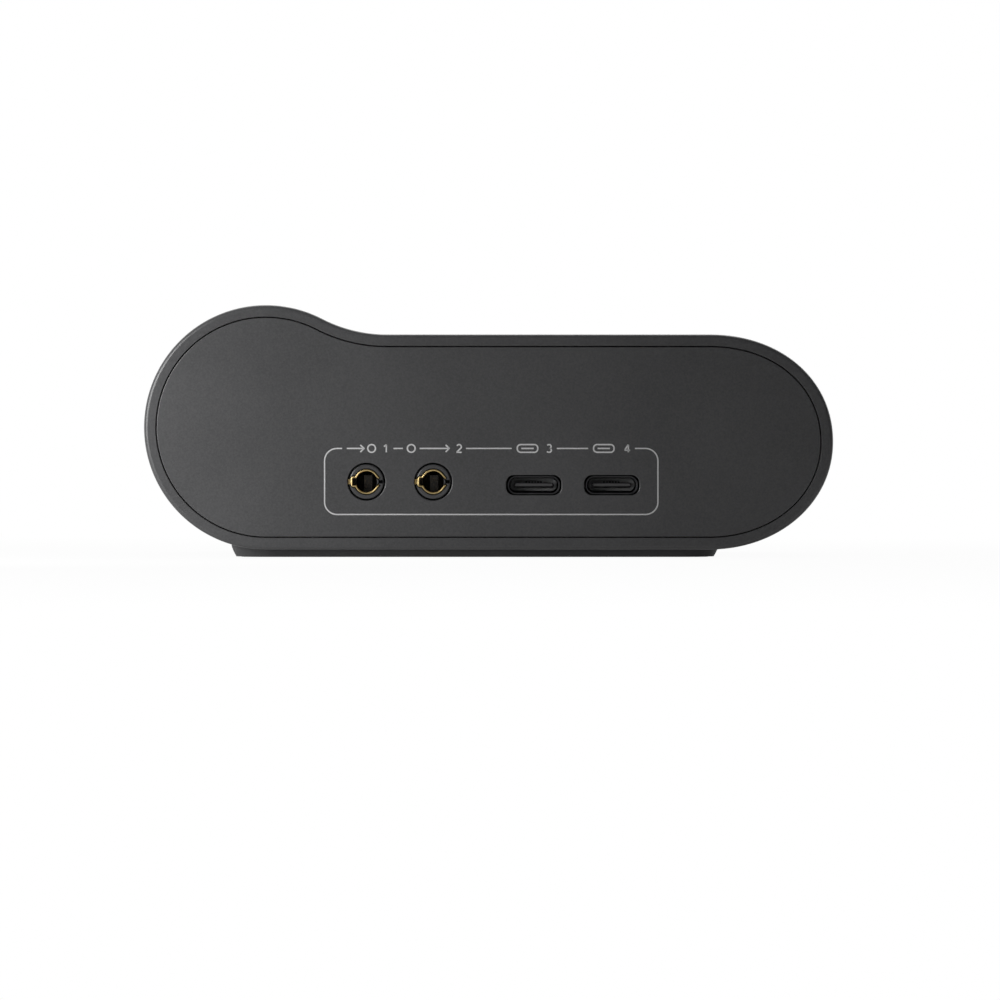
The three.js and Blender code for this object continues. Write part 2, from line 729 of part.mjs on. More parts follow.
// The microphone socket with its mouth at zero, looking towards -Y: a ring shaped well for
// the XLR plug's shell round an insert with three contacts and a bore for a 6.35 mm plug.
function microphoneSocket() {
  const body = join(
    turned([
      [0, -socketProud],
      [socketNose - socketEdge, -socketProud],
      [socketNose, socketEdge - socketProud],
      [socketNose, nozzleEnd + cutEnd],
      [0, nozzleEnd + cutEnd],
    ], largeSides),
    alongY(roundedRect(socketSize, socketSize, socketCorner), [nozzleEnd, socketDepth]),
  );
  const angles = [Math.PI / 6, 5 * Math.PI / 6, 3 * Math.PI / 2];
  const pins = angles.map((angle) => [pinCircle * Math.cos(angle), pinCircle * Math.sin(angle)]);
  const well = cut(
    rodY(socketMouth, [-socketProud - cutEnd, socketMouthDepth], 0, 0, largeSides),
    rodY(insertRadius, [insertRecess, socketMouthDepth + cutEnd]),
  );
  const tools = [
    well,
    rodY(plugBore, [-cutEnd, socketDepth - plugWall]),
    ...pins.map(([x, z]) => rodY(pinHole.radius, [-cutEnd, pinHole.depth], x, z, smallSides)),
    block(
      across(0, insertKey.width),
      [-cutEnd, socketMouthDepth - insertKey.floor],
      [insertRadius - insertKey.inside, insertRadius + insertKey.outside],
    ),
    ...socketScrewPlaces.map(([x, z]) => (
      rodY(shankRadius + fit, [0, nozzleEnd + socketScrewLength], x, z, smallSides)
    )),
  ];
  const group = new THREE.Group();
  group.add(piece('microphone_socket', cut(body, ...tools), blackPlastic));
  const outer = pinHole.radius - runningGap;
  const limits = [insertRecess + pinContact.recess, pinContact.end];
  const sleeve = cut(
    rodY(outer, limits, 0, 0, smallSides),
    rodY(outer - pinContact.sheet, [limits[0] - cutEnd, limits[1] + cutEnd], 0, 0, smallSides),
  );
  pins.forEach(([x, z], i) => {
    const contact = piece(`microphone_contact_${i + 1}`, sleeve, gilt);
    contact.position.set(x, 0, z);
    group.add(contact);
  });
  const recess = [panHeadHeight - driveSlot.depth, panHeadHeight + cutEnd];
  const slot = block(across(0, driveSlot.width), recess, across(0, driveSlot.length));
  const crossHead = cut(panScrew(socketScrewLength), slot, slot.clone().rotateY(Math.PI / 2));
  socketScrewPlaces.forEach(([x, z], i) => {
    const screw = piece(`socket_screw_${i + 1}`, crossHead, blackSteel);
    screw.position.set(x, 0, z);
    screw.rotation.x = Math.PI;
    group.add(screw);
  });
  return group;
}

// The groups below stand on the front panel's face and look towards +Y.

// A potentiometer with its threaded bushing, nut, shaft and knob.
function rotaryControl(name, knob) {
  const ceiling = knob.height - knob.wall;
  const shaftEnd = ceiling - flatStart;
  const shaftFoot = frontBoardFace + rotary.shaftSeat;
  const bodyFront = -panelThickness - fit;
  const flatZ = -shaftRadius / 2;
  const body = cut(
    join(
      alongY(roundedRect(rotary.width, rotary.width, rotary.corner), [frontBoardFace, bodyFront]),
      rodY(bushingRadius, [bodyFront - cutEnd, bushingReach]),
    ),
    rodY(shaftRadius + runningGap, [shaftFoot - fit, bushingReach + cutEnd]),
  );
  const nut = cut(
    rodY(nutRadius, [0, nutThickness], 0, 0, 6),
    rodY(bushingRadius + fit, [-cutEnd, nutThickness + cutEnd]),
  );
  const flat = block(
    across(0, 2 * shaftRadius),
    [bushingReach + flatStart, shaftEnd + cutEnd],
    [-2 * shaftRadius, flatZ],
  );
  const shaft = cut(rodY(shaftRadius, [shaftFoot, shaftEnd]), flat);
  const group = new THREE.Group();
  group.add(
    piece(`${name}_potentiometer`, body, steel),
    piece(`${name}_nut`, nut, steel),
    piece(`${name}_shaft`, shaft, steel),
    piece(`${name}_knob`, knobCap(knob, ceiling, shaftEnd, flatZ), knobPaint),
  );
  return group;
}

// A hollow knob with a hub that takes the shaft's flat, and a pointer groove in its top.
function knobCap(knob, ceiling, shaftEnd, flatZ) {
  const hubFoot = bushingReach + knobGap;
  const top = knob.radius - knobTaper - knobEdge;
  const shoulder = arc(top, knob.height - knobEdge, knobEdge, knobEdge, 0, Math.PI / 2, 3);
  const cup = turned([
    [0, ceiling],
    [knob.radius - knob.wall, ceiling],
    [knob.radius - knob.wall, knobGap],
    [knob.radius, knobGap],
    ...shoulder.map((point) => [point.x, point.y]),
    [0, knob.height - knobDish],
  ], largeSides);
  const hub = rodY(shaftRadius + hubWall, [hubFoot, knob.height - knob.wall / 2 - knobDish]);
  const boreGap = fit / 2;
  const bore = cut(
    rodY(shaftRadius + boreGap, [hubFoot - cutEnd, shaftEnd + boreGap]),
    block(
      across(0, 4 * shaftRadius),
      [hubFoot - 2 * cutEnd, shaftEnd + cutEnd],
      [-4 * shaftRadius, flatZ - boreGap],
    ),
  );
  const groove = block(
    across(0, pointer.width),
    [knob.height - pointer.depth, knob.height + cutEnd],
    [knob.radius / 2, top],
  );
  return cut(join(cup, hub), bore, groove);
}

// A push button with a flange behind the panel, and its stem in the switch on the board.
function pushControl(name, proud, travel) {
  const switchTop = frontBoardFace + pushSwitch.height;
  const stemEnd = switchTop - stemSeat;
  const flangeFront = -panelThickness - fit;
  const flangeBack = flangeFront - buttonFlange;
  const flangeRadius = buttonRadius + buttonFlange;
  const button = turned([
    [0, stemEnd],
    [stemRadius, stemEnd],
    [stemRadius, flangeBack],
    [flangeRadius, flangeBack],
    [flangeRadius, flangeFront],
    [buttonRadius, flangeFront],
    [buttonRadius, proud - buttonEdge],
    [buttonRadius - buttonEdge, proud],
    [0, proud],
  ], roundSides);
  const casing = cut(
    alongY(roundedRect(pushSwitch.size, pushSwitch.size, pushSwitch.corner), [frontBoardFace, switchTop]),
    rodY(stemRadius + runningGap, [stemEnd - travel - fit, switchTop + cutEnd]),
  );
  const group = new THREE.Group();
  group.add(
    piece(`${name}_switch`, casing, blackPlastic),
    piece(`${name}_button`, button, knobPaint),
  );
  return group;
}

// Parts that stand on the main board.
function boardParts() {
  const chip = (name, { side, height, x, y }) => {
    const foot = roundedRect(side, side, chipCorner);
    const top = roundedRect(side - 2 * chipTaper, side - 2 * chipTaper, chipCorner);
    return placed(piece(name, loft([[foot, 0], [top, height]], 1), blackPlastic), x, y, boardTop);
  };
  const { radius, height, groove } = capacitor;
  const neck = radius / 2;
  const can = piece('power_capacitor', turned([
    [0, 0],
    [radius, 0],
    [radius, neck - groove],
    [radius - groove, neck],
    [radius, neck + groove],
    [radius, height - groove],
    [radius - groove, height],
    [0, height],
  ], smallSides), steel);
  can.rotation.x = Math.PI / 2;
  can.position.set(humpX + capacitor.inset, capacitor.y, boardTop);
  const crystalPlan = roundedRect(crystal.length, crystal.width, crystal.corner);
  const crystalCan = alongZ(crystalPlan, [0, crystal.height], 3);
  const coilPlan = roundedRect(inductor.side, inductor.side, inductor.corner);
  const coil = alongZ(coilPlan, [0, inductor.height], 3);
  const linkFront = front + frontBoardFace - boardThickness;
  const link = block(
    across(boardLink.x, boardLink.width),
    [linkFront - boardLink.depth, linkFront],
    [boardTop, boardTop + boardLink.height],
  );
  return [
    chip('processor', processor),
    chip('converter', converter),
    chip('headphone_amplifier', amplifier),
    can,
    placed(piece('clock_crystal', crystalCan, steel), crystal.x, crystal.y, boardTop),
    placed(piece('power_inductor', coil, blackPlastic), humpX + inductor.inset, inductor.y, boardTop),
    piece('board_link', link, blackPlastic),
  ];
}

function placed(item, x, y, z, turn = 0) {
  item.position.set(x, y, z);
  item.rotation.z = turn;
  return item;
}

const audioInterface = new THREE.Group();
audioInterface.add(
  housingShell(),
  backPanel(),
  frontPanel(),
  ...basePlate(),
  mainBoard(),
  ...frontBoard(),
  ...fixings(),
  ...boardParts(),
  placed(jackModule('line_in'), lineJackX[0], back, jackZ),
  placed(jackModule('line_out'), lineJackX[1], back, jackZ),
  placed(jackModule('headphone'), headphoneX, front, jackZ, Math.PI),
  ...usbX.map((x, i) => placed(usbReceptacle(i + 1), x, back, usbZ)),
  placed(microphoneSocket(), socketX, front, socketZ, Math.PI),
  placed(rotaryControl('volume', volumeKnob), humpX, front, humpZ),
  placed(rotaryControl('gain', gainKnob), gainX, front, controlZ),
  placed(pushControl('mute', muteProud, muteTravel), buttonX, front, buttonZ[0]),
  placed(pushControl('phantom', phantomProud, phantomTravel), buttonX, front, buttonZ[1]),
);

export default audioInterface;
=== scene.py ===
import math

import bpy
import numpy as np
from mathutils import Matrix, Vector
from mathutils.geometry import tessellate_polygon


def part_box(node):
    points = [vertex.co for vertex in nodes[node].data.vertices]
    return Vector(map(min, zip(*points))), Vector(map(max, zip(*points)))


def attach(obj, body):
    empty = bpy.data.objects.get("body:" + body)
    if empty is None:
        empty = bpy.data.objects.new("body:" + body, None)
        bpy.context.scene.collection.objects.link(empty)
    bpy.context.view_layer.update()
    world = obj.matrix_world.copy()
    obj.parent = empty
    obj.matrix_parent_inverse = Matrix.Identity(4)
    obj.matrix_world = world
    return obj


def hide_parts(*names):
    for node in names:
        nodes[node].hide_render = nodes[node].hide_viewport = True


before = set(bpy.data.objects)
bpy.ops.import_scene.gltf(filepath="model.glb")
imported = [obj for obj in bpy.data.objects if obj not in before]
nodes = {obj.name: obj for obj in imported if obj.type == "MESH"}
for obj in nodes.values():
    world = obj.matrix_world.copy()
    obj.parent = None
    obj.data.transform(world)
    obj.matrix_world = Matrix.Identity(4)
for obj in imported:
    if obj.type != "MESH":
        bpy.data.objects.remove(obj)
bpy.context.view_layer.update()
scene = bpy.context.scene
mm = 0.001
past = 1 * mm            # how far a cutting shape passes the face that it cuts
print("frame loaded:", len(nodes), "nodes")


# Camera: level, in front of the back panel, with a long lens.
cameraValues = {
    "pixelsPerMm": 5.9, "imageWidth": 1000, "lens": 200, "sensor": 36, "aimX": 1.935, "aimZ": 9.7,
}


def placeCamera(values, faceY):
    data = bpy.data.cameras.new("camera")
    data.lens = values["lens"]
    data.sensor_width = values["sensor"]
    data.clip_start = 0.01
    data.clip_end = 20
    width = values["imageWidth"] / values["pixelsPerMm"] * mm
    distance = width * values["lens"] / values["sensor"]
    camera = bpy.data.objects.new("camera", data)
    camera.location = (values["aimX"] * mm, faceY - distance, values["aimZ"] * mm)
    camera.rotation_euler = (math.pi / 2, 0, 0)
    scene.collection.objects.link(camera)
    scene.camera = camera


# Colours are written as screen greys from 0 to 255.
def screen(red, green=None, blue=None):
    values = [red, red if green is None else green, red if blue is None else blue]
    shares = [value / 255 for value in values]
    linear = [s / 12.92 if s <= 0.04045 else ((s + 0.055) / 1.055) ** 2.4 for s in shares]
    return (*linear, 1)


# Node helpers. Patterns read Object coordinates, so scales count features to a metre.
def startMaterial(name, roughness=0.5, metallic=0.0, specular=0.5):
    material = bpy.data.materials.new(name)
    material.use_nodes = True
    tree = material.node_tree
    shader = tree.nodes["Principled BSDF"]
    shader.inputs["Roughness"].default_value = roughness
    shader.inputs["Metallic"].default_value = metallic
    shader.inputs["Specular IOR Level"].default_value = specular
    place = tree.nodes.new("ShaderNodeTexCoord").outputs["Object"]
    return material, tree, shader, place


def stretched(tree, place, scale):
    node = tree.nodes.new("ShaderNodeMapping")
    node.inputs["Scale"].default_value = scale
    tree.links.new(place, node.inputs["Vector"])
    return node.outputs["Vector"]


def grain(tree, place, scale, detail=2.0, roughness=0.5):
    node = tree.nodes.new("ShaderNodeTexNoise")
    node.inputs["Scale"].default_value = scale
    node.inputs["Detail"].default_value = detail
    node.inputs["Roughness"].default_value = roughness
    tree.links.new(place, node.inputs["Vector"])
    return node.outputs["Fac"]


def ranged(tree, value, low, high, fromLow=0.3, fromHigh=0.7):
    node = tree.nodes.new("ShaderNodeMapRange")
    node.inputs["From Min"].default_value = fromLow
    node.inputs["From Max"].default_value = fromHigh
    node.inputs["To Min"].default_value = low
    node.inputs["To Max"].default_value = high
    tree.links.new(value, node.inputs["Value"])
    return node.outputs["Result"]


def blended(tree, factor, dark, light):
    node = tree.nodes.new("ShaderNodeMix")
    node.data_type = "RGBA"
    node.inputs["A"].default_value = dark
    node.inputs["B"].default_value = light
    tree.links.new(factor, node.inputs["Factor"])
    return node.outputs["Result"]


def bumped(tree, shader, height, distance):
    node = tree.nodes.new("ShaderNodeBump")
    node.inputs["Distance"].default_value = distance
    tree.links.new(height, node.inputs["Height"])
    tree.links.new(node.outputs["Normal"], shader.inputs["Normal"])


def added(tree, first, second, weight):
    node = tree.nodes.new("ShaderNodeMath")
    node.operation = "MULTIPLY_ADD"
    node.inputs[1].default_value = weight
    tree.links.new(second, node.inputs[0])
    tree.links.new(first, node.inputs[2])
    return node.outputs["Value"]


# The patterns that all finishes share. The finishes themselves are listed below.
pattern = {
    "fineDetail": 3.0, "fineRoughness": 0.6,
    "cloudScale": 55, "cloudShare": 0.35,
    "darkest": 0.45, "lightest": 0.9,       # values of the pattern that give the end tones
    "paintGloss": 0.04,                     # change of a paint's roughness, each way
    "spotScale": 700,
    "glossier": 0.05, "duller": 0.08,       # change of a metal's roughness, down and up
    "metalRelief": 0.002,
}


def tones(tone, contrast):
    changes = (-contrast, contrast)
    return [screen(*[min(max(c + change, 0), 255) for c in tone]) for change in changes]


# A painted or moulded skin: a soft cloudiness and a fine speckle, also in slight relief.
def speckledMaterial(name, tone, contrast, roughness, grainSize, relief, specular=0.5):
    material, tree, shader, place = startMaterial(name, roughness, 0.0, specular)
    fine = grain(tree, place, 1 / grainSize, pattern["fineDetail"], pattern["fineRoughness"])
    cloud = grain(tree, place, pattern["cloudScale"])
    mixed = added(tree, fine, cloud, pattern["cloudShare"])
    factor = ranged(tree, mixed, 0, 1, pattern["darkest"], pattern["lightest"])
    tree.links.new(blended(tree, factor, *tones(tone, contrast)), shader.inputs["Base Color"])
    change = pattern["paintGloss"]
    gloss = ranged(tree, cloud, roughness - change, roughness + change, fromLow=0.1, fromHigh=0.9)
    tree.links.new(gloss, shader.inputs["Roughness"])
    bumped(tree, shader, fine, relief * mm)
    return material


# Drawn or turned metal: streaks along one direction and small changes of gloss.
def metalMaterial(name, tone, contrast, roughness, streak):
    material, tree, shader, place = startMaterial(name, roughness, 1.0)
    lines = grain(tree, stretched(tree, place, streak), 1.0)
    spots = grain(tree, place, pattern["spotScale"])
    factor = ranged(tree, lines, 0, 1)
    tree.links.new(blended(tree, factor, *tones(tone, contrast)), shader.inputs["Base Color"])
    gloss = ranged(tree, spots, roughness - pattern["glossier"], roughness + pattern["duller"])
    tree.links.new(gloss, shader.inputs["Roughness"])
    bumped(tree, shader, lines, pattern["metalRelief"] * mm)
    return material


finishes = {
    "housing": speckledMaterial("satin_paint", (77, 77, 78), 6.5, 0.3, 0.00028, 0.006),
    "base": speckledMaterial("base_plastic", (86, 86, 87), 3.0, 0.6, 0.0005, 0.008, 0.4),
    "rubber": speckledMaterial("pad_rubber", (26, 26, 26), 4.0, 0.85, 0.0006, 0.01, 0.3),
    "nozzle": speckledMaterial("nozzle_plastic", (74, 74, 75), 3.0, 0.22, 0.0003, 0.004),
    "black": speckledMaterial("black_plastic", (20, 20, 21), 3.0, 0.5, 0.0004, 0.005),
    "tongue": speckledMaterial("tongue_plastic", (70, 70, 71), 4.0, 0.5, 0.0003, 0.004),
    # The root's light grey is painted light: black plastic deep in the USB can, lightened to stand
    # in for light reaching it.
    "root": speckledMaterial("root_plastic_painted_light", (175, 175, 176), 4.0, 0.5, 0.0003, 0.004),
    "knob": metalMaterial("anodised_knob", (62, 62, 64), 4.0, 0.36, (300, 300, 2500)),
    "button": speckledMaterial("button_plastic", (46, 46, 47), 3.0, 0.5, 0.0003, 0.004),
    "ink": speckledMaterial("printed_ink", (206, 206, 206), 4.0, 0.6, 0.0002, 0.002),
    "gilt": metalMaterial("gilt_contact", (232, 206, 146), 10.0, 0.36, (900, 120, 900)),
    "spring": metalMaterial("spring_contact", (92, 90, 88), 6.0, 0.2, (900, 120, 900)),
    # Black steel is the screws' own finish, and painted shade on the USB contacts, where gold pads
    # are coloured dark for the can's shade.
    "blackSteel": metalMaterial("black_steel", (34, 34, 35), 5.0, 0.34, (1200, 150, 1200)),
    "can": metalMaterial("blackened_can", (92, 92, 94), 5.0, 0.36, (1200, 150, 1200)),
    "steel": metalMaterial("bright_steel", (170, 170, 172), 10.0, 0.32, (900, 900, 200)),
    "brass": metalMaterial("standoff_brass", (190, 158, 92), 10.0, 0.36, (900, 900, 200)),
    "board": speckledMaterial("circuit_board", (22, 62, 38), 4.0, 0.42, 0.0008, 0.01),
    "mark": speckledMaterial("pointer_mark", (196, 196, 194), 4.0, 0.55, 0.0002, 0.002),
}
print("finishes made:", len(finishes))


# Shapes. A loop is a closed outline in two columns, anticlockwise, worked out for an inset.
def arcPoints(centre, radii, start, end, count):
    angle = np.linspace(start, end, count)
    return np.column_stack([centre[0] + radii[0] * np.cos(angle),
                            centre[1] + radii[1] * np.sin(angle)])


def circleLoop(radius, count=72, centre=(0.0, 0.0)):
    last = 2 * math.pi * (1 - 1 / count)

    def loopAt(inset):
        return arcPoints(centre, (radius - inset, radius - inset), 0, last, count)
    return loopAt


# Rounded rectangle: four quarter circles joined by straight sides.
def roundedLoop(width, height, corner, count=10, centre=(0.0, 0.0)):
    def loopAt(inset):
        r = max(corner - inset, 0.02 * mm)       # never quite sharp
        x = width / 2 - inset - r
        z = height / 2 - inset - r
        quarters = [(x, -z, -0.5), (x, z, 0), (-x, z, 0.5), (-x, -z, 1)]
        return np.vstack([
            arcPoints((centre[0] + cx, centre[1] + cz), (r, r),
                      start * math.pi, (start + 0.5) * math.pi, count)
            for cx, cz, start in quarters
        ])
    return loopAt


# Bent sheet: the line through its middle moved half a thickness to each side, and at each
# bend further, by one over the cosine of half its turn, so that the thickness stays even.
def sheetLoop(line, sheet):
    edges = np.diff(line, axis=0)
    edges /= np.linalg.norm(edges, axis=1)[:, None]
    before = np.vstack([edges[:1], edges])
    along = before + np.vstack([edges, edges[-1:]])
    along /= np.linalg.norm(along, axis=1)[:, None]
    side = np.column_stack([-along[:, 1], along[:, 0]]) / np.sum(before * along, axis=1)[:, None]

    def loopAt(inset):
        centre = np.array(line)
        centre[0] += along[0] * inset
        centre[-1] -= along[-1] * inset
        reach = side * (sheet / 2 - inset)
        return np.vstack([centre - reach, (centre + reach)[::-1]])
    return loopAt


# Rows of a loop's points: each station is (place along the path, inset of the loop).
def ringRows(loopAt, stations):
    rows = []
    for place, inset in stations:
        loop = loopAt(inset)
        rows.append(np.column_stack([loop, np.full(len(loop), place)]))
    return np.array(rows)


# Faces between neighbouring rows, closed round each loop, and over the last row if ringed.
def gridFaces(rows, columns, ringed=False, inward=False):
    row = np.arange(rows if ringed else rows - 1)[:, None]
    column = np.arange(columns)[None, :]
    following = (row + 1) % rows
    right = (column + 1) % columns
    corners = [row * columns + column, row * columns + right, following * columns + right,
               following * columns + column]
    quads = np.stack(corners, axis=-1).reshape(-1, 4)
    return quads[:, ::-1] if inward else quads


# Triangles that close a set of loops in one plane, turned to face along the path.
def capFaces(loops):
    flat = [[Vector((u, v, 0)) for u, v in loop] for loop in loops]
    points = np.vstack(loops)
    triangles = np.array(tessellate_polygon(flat))
    a, b, c = (points[triangles[:, i]] for i in range(3))
    ab, ac = b - a, c - a
    turned = ab[:, 0] * ac[:, 1] - ab[:, 1] * ac[:, 0] < 0
    triangles[turned] = triangles[turned][:, ::-1]
    return triangles


# Swept solid: the outer loop runs through its stations, and each hole, a (loop, stations)
# pair, through its own. The ends are closed flat, or a ringed profile meets its own start.
def sweep(loopAt, stations, holes=(), ringed=False):
    walls = [(loopAt, stations)] + list(holes)
    grids = [ringRows(loop, path) for loop, path in walls]
    counts = [grid.shape[0] * grid.shape[1] for grid in grids]
    starts = np.cumsum([0] + counts)
    faces = []
    for index, grid in enumerate(grids):
        quads = gridFaces(grid.shape[0], grid.shape[1], ringed, inward=index > 0)
        faces += (quads + starts[index]).tolist()
    if not ringed:
        for end in (0, -1):
            row = []
            for start, count, grid in zip(starts, counts, grids):
                columns = grid.shape[1]
                row.append(np.arange(columns) + start + (0 if end == 0 else count - columns))
            triangles = np.concatenate(row)[capFaces([grid[end][:, :2] for grid in grids])]
            faces += (triangles[:, ::-1] if end == 0 else triangles).tolist()
    return np.vstack([grid.reshape(-1, 3) for grid in grids]), faces


# Turned solid: rows of circles, each station being (place along the axis, radius).
def turn(stations, count=72, centre=(0.0, 0.0)):
    return sweep(lambda radius: circleLoop(radius, count, centre)(0), stations)


# Lays a sweep, whose path runs up, along Y. The swap mirrors it, so its faces turn over.
def laid(shape):
    points, faces = shape
    return points[:, [0, 2, 1]], [face[::-1] for face in faces]


# Turned half round about the upright line through the origin, to look the other way.
def facedFront(shape):
    points, faces = shape
    return points * (-1, -1, 1), faces


def joined(*shapes):
    starts = np.cumsum([0] + [len(points) for points, _ in shapes])
    faces = []
    for (_, own), start in zip(shapes, starts):
        faces += [[int(corner + start) for corner in face] for face in own]
    return np.vstack([points for points, _ in shapes]), faces


# Smooth shading that breaks at sharp edges and stays flat on faces square to an axis.
def shaded(mesh, sharp):
    mesh.shade_smooth()
    mesh.set_sharp_from_angle(angle=math.radians(sharp))
    normals = np.empty(3 * len(mesh.polygons), np.float32)
    mesh.polygons.foreach_get("normal", normals)
    square = np.abs(normals.reshape(-1, 3)).max(axis=1) > 0.999999
    mesh.polygons.foreach_set("use_smooth", ~square)
    mesh.update()


def makeMesh(name, shape, finish, sharp=32):
    points, faces = shape
    mesh = bpy.data.meshes.new(name)
    mesh.from_pydata(points.tolist(), [], faces)
    mesh.validate()
    mesh.materials.append(finish)
    shaded(mesh, sharp)
    piece = bpy.data.objects.new(name, mesh)
    scene.collection.objects.link(piece)
    return piece


def dressed(piece, body, slotName, *replaced):
    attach(piece, body)
    if replaced:
        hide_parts(*replaced)
    return piece


# Cuts shapes out of a piece and rounds its edges, then keeps only the resulting mesh.
def carved(piece, cutters, edge=0.0, sharp=32):
    tools = []
    for index, shape in enumerate(cutters):
        tool = makeMesh(f"{piece.name}_tool_{index}", shape, piece.data.materials[0])
        tools.append(tool)
        modifier = piece.modifiers.new(f"cut_{index}", "BOOLEAN")
        modifier.operation = "DIFFERENCE"
        modifier.solver = "EXACT"
        modifier.object = tool
    if edge:
        modifier = piece.modifiers.new("edge", "BEVEL")
        modifier.width = edge * mm
        modifier.segments = 2
        modifier.limit_method = "ANGLE"
        modifier.angle_limit = math.radians(40)
    bpy.context.view_layer.update()
    worked = piece.evaluated_get(bpy.context.evaluated_depsgraph_get())
    finished = bpy.data.meshes.new_from_object(worked)
    piece.modifiers.clear()
    old = piece.data
    name = old.name
    piece.data = finished
    bpy.data.meshes.remove(old)
    finished.name = name
    shaded(finished, sharp)
    for tool in tools:
        data = tool.data
        bpy.data.objects.remove(tool)
        bpy.data.meshes.remove(data)
    return piece


def boxShape(x, y, z):
    around = ((x[0], y[0]), (x[1], y[0]), (x[1], y[1]), (x[0], y[1]))
    corners = np.array([[a, b, c] for c in z for a, b in around])
    faces = [[3, 2, 1, 0], [4, 5, 6, 7], [0, 1, 5, 4], [1, 2, 6, 5], [2, 3, 7, 6], [3, 0, 4, 7]]
    return corners, faces


def middle(node):
    low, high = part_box(node)
    return (low + high) / 2


# A node's box, and its middle across and up.
def span(node):
    low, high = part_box(node)
    return low, high, (low.x + high.x) / 2, (low.z + high.z) / 2


# A dictionary's millimetres in metres.
def metres(values):
    return {key: value * mm for key, value in values.items()}


# Places that every piece shares.
shellLow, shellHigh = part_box("housing_shell")
backFace = shellLow.y
frontFace = shellHigh.y
underside = shellLow.z


# Housing: round hump, hollow saddle, flat top, round nose and flat underside.
housing = {
    "width": 116.88,
    "humpRise": 4.97,      # the hump's height above the flat top
    "saddleRadius": 24.1,
    "noseReach": 21.0,
    "noseFullness": 2.1,   # of the nose's upper half: 2 is an ellipse, more is squarer
    "noseFullnessBelow": 2.04,
    "wall": 2.0,
    "rimRound": 0.65,      # rounding of the outer rim
    "innerEdge": 0.1,      # small chamfer at the mouth
    "seam": 0.17,          # gap round each panel
    "panel": 2.0,
    "panelEdge": 0.12,
    "arcSteps": 150,
}


# Outline: nose as half an ellipse with its cosines and sines raised to the power 2 over the
# fullness, saddle as an arc tangent to the top and to the hump, hump as the arc from that
# tangent point round to the underside.
def bodyLoop(values):
    def loopAt(inset):
        humpRadius = (shellHigh.z - underside) / 2
        top = shellHigh.z - values["humpRise"] * mm
        reach = values["noseReach"] * mm
        saddleRadius = values["saddleRadius"] * mm
        humpX = humpRadius - values["width"] / 2 * mm
        humpZ = underside + humpRadius
        noseX = values["width"] / 2 * mm - reach
        noseHalf = (top - underside) / 2
        saddleZ = top + saddleRadius
        saddleX = humpX + math.sqrt((humpRadius + saddleRadius) ** 2 - (saddleZ - humpZ) ** 2)
        lean = math.atan2(saddleZ - humpZ, saddleX - humpX)
        steps = values["arcSteps"]
        nose = arcPoints((0, 0), (1, 1), -math.pi / 2, math.pi / 2, steps)
        fullness = np.where(nose[:, 1:] < 0, values["noseFullnessBelow"], values["noseFullness"])
        nose = np.sign(nose) * np.abs(nose) ** (2 / fullness)
        nose = nose * (reach - inset, noseHalf - inset) + (noseX, underside + noseHalf)
        saddle = arcPoints((saddleX, saddleZ), (saddleRadius + inset,) * 2,
                           -math.pi / 2, lean - math.pi, steps // 4)
        hump = arcPoints((humpX, humpZ), (humpRadius - inset,) * 2, lean, 1.5 * math.pi, steps)
        return np.vstack([nose, saddle, hump[1:]])
    return loopAt


# Rounded edge: a quarter circle from (depth, 0) to (0, depth) in steps of equal angle.
def roundedEdge(radius, steps):
    angle = np.linspace(0, math.pi / 2, steps + 1)
    return [(radius * (1 - math.sin(a)), radius * (1 - math.cos(a))) for a in angle]


def makeShell(values):
    wall = values["wall"] * mm
    chamfer = values["innerEdge"] * mm
    rim = roundedEdge(values["rimRound"] * mm, 6)
    stations = [(backFace + chamfer, wall), (backFace, wall - chamfer)]
    stations += [(backFace + depth, inset) for inset, depth in rim]
    stations += [(frontFace - depth, inset) for inset, depth in reversed(rim)]
    stations += [(frontFace, wall - chamfer), (frontFace - chamfer, wall)]
    shape = laid(sweep(bodyLoop(values), stations, ringed=True))
    piece = makeMesh("wrap_around_shell", shape, finishes["housing"])
    dressed(piece, "housing", "housing_paint", "housing_shell")


# A panel's plate with holes, all with rounded edges. Outward is -1 at the back, 1 in front.
def makePanel(name, node, values, holes, holeEdge, outward):
    face = backFace if outward < 0 else frontFace
    inner = face - outward * values["panel"] * mm

    def path(edge, sign=1):
        rounding = roundedEdge(edge * mm, 3)
        stations = [(face - outward * depth, sign * inset) for inset, depth in rounding]
        stations.append((inner, 0))
        return stations if outward < 0 else stations[::-1]

    outset = (values["wall"] + values["seam"]) * mm
    outline = bodyLoop(values)
    walls = [(loop, path(holeEdge, -1)) for loop in holes]
    plate = sweep(lambda inset: outline(outset + inset), path(values["panelEdge"]), walls)
    piece = makeMesh(name, laid(plate), finishes["housing"])
    dressed(piece, "housing", "housing_paint", node)


def roundHole(node, size):
    place = middle(node)
    return circleLoop(size / 2 * mm, 96, (place.x, place.z))


makeShell(housing)
print("shell made")


# Back panel: two jack holes and two rounded slots.
backPorts = {
    "jackHole": 6.4, "slotWidth": 9.35, "slotHeight": 3.4, "slotCorner": 1.35, "holeEdge": 0.14,
}


def makeBackPanel(values):
    holes = [roundHole(node, values["jackHole"]) for node in ("line_in_jack", "line_out_jack")]
    for node in ("usb_1_shell", "usb_2_shell"):
        place = middle(node)
        holes.append(roundedLoop(values["slotWidth"] * mm, values["slotHeight"] * mm,
                                 values["slotCorner"] * mm, 12, (place.x, place.z)))
    makePanel("connector_panel", "back_panel", housing, holes, values["holeEdge"], -1)


makeBackPanel(backPorts)


# Front panel: knob bushings, buttons, headphone jack and microphone socket.
frontPorts = {
    "jackHole": 6.4, "bushingHole": 8.4, "buttonHole": 7.2, "socketHole": 23.6,
    "screwHole": 2.8, "holeEdge": 0.1,
}


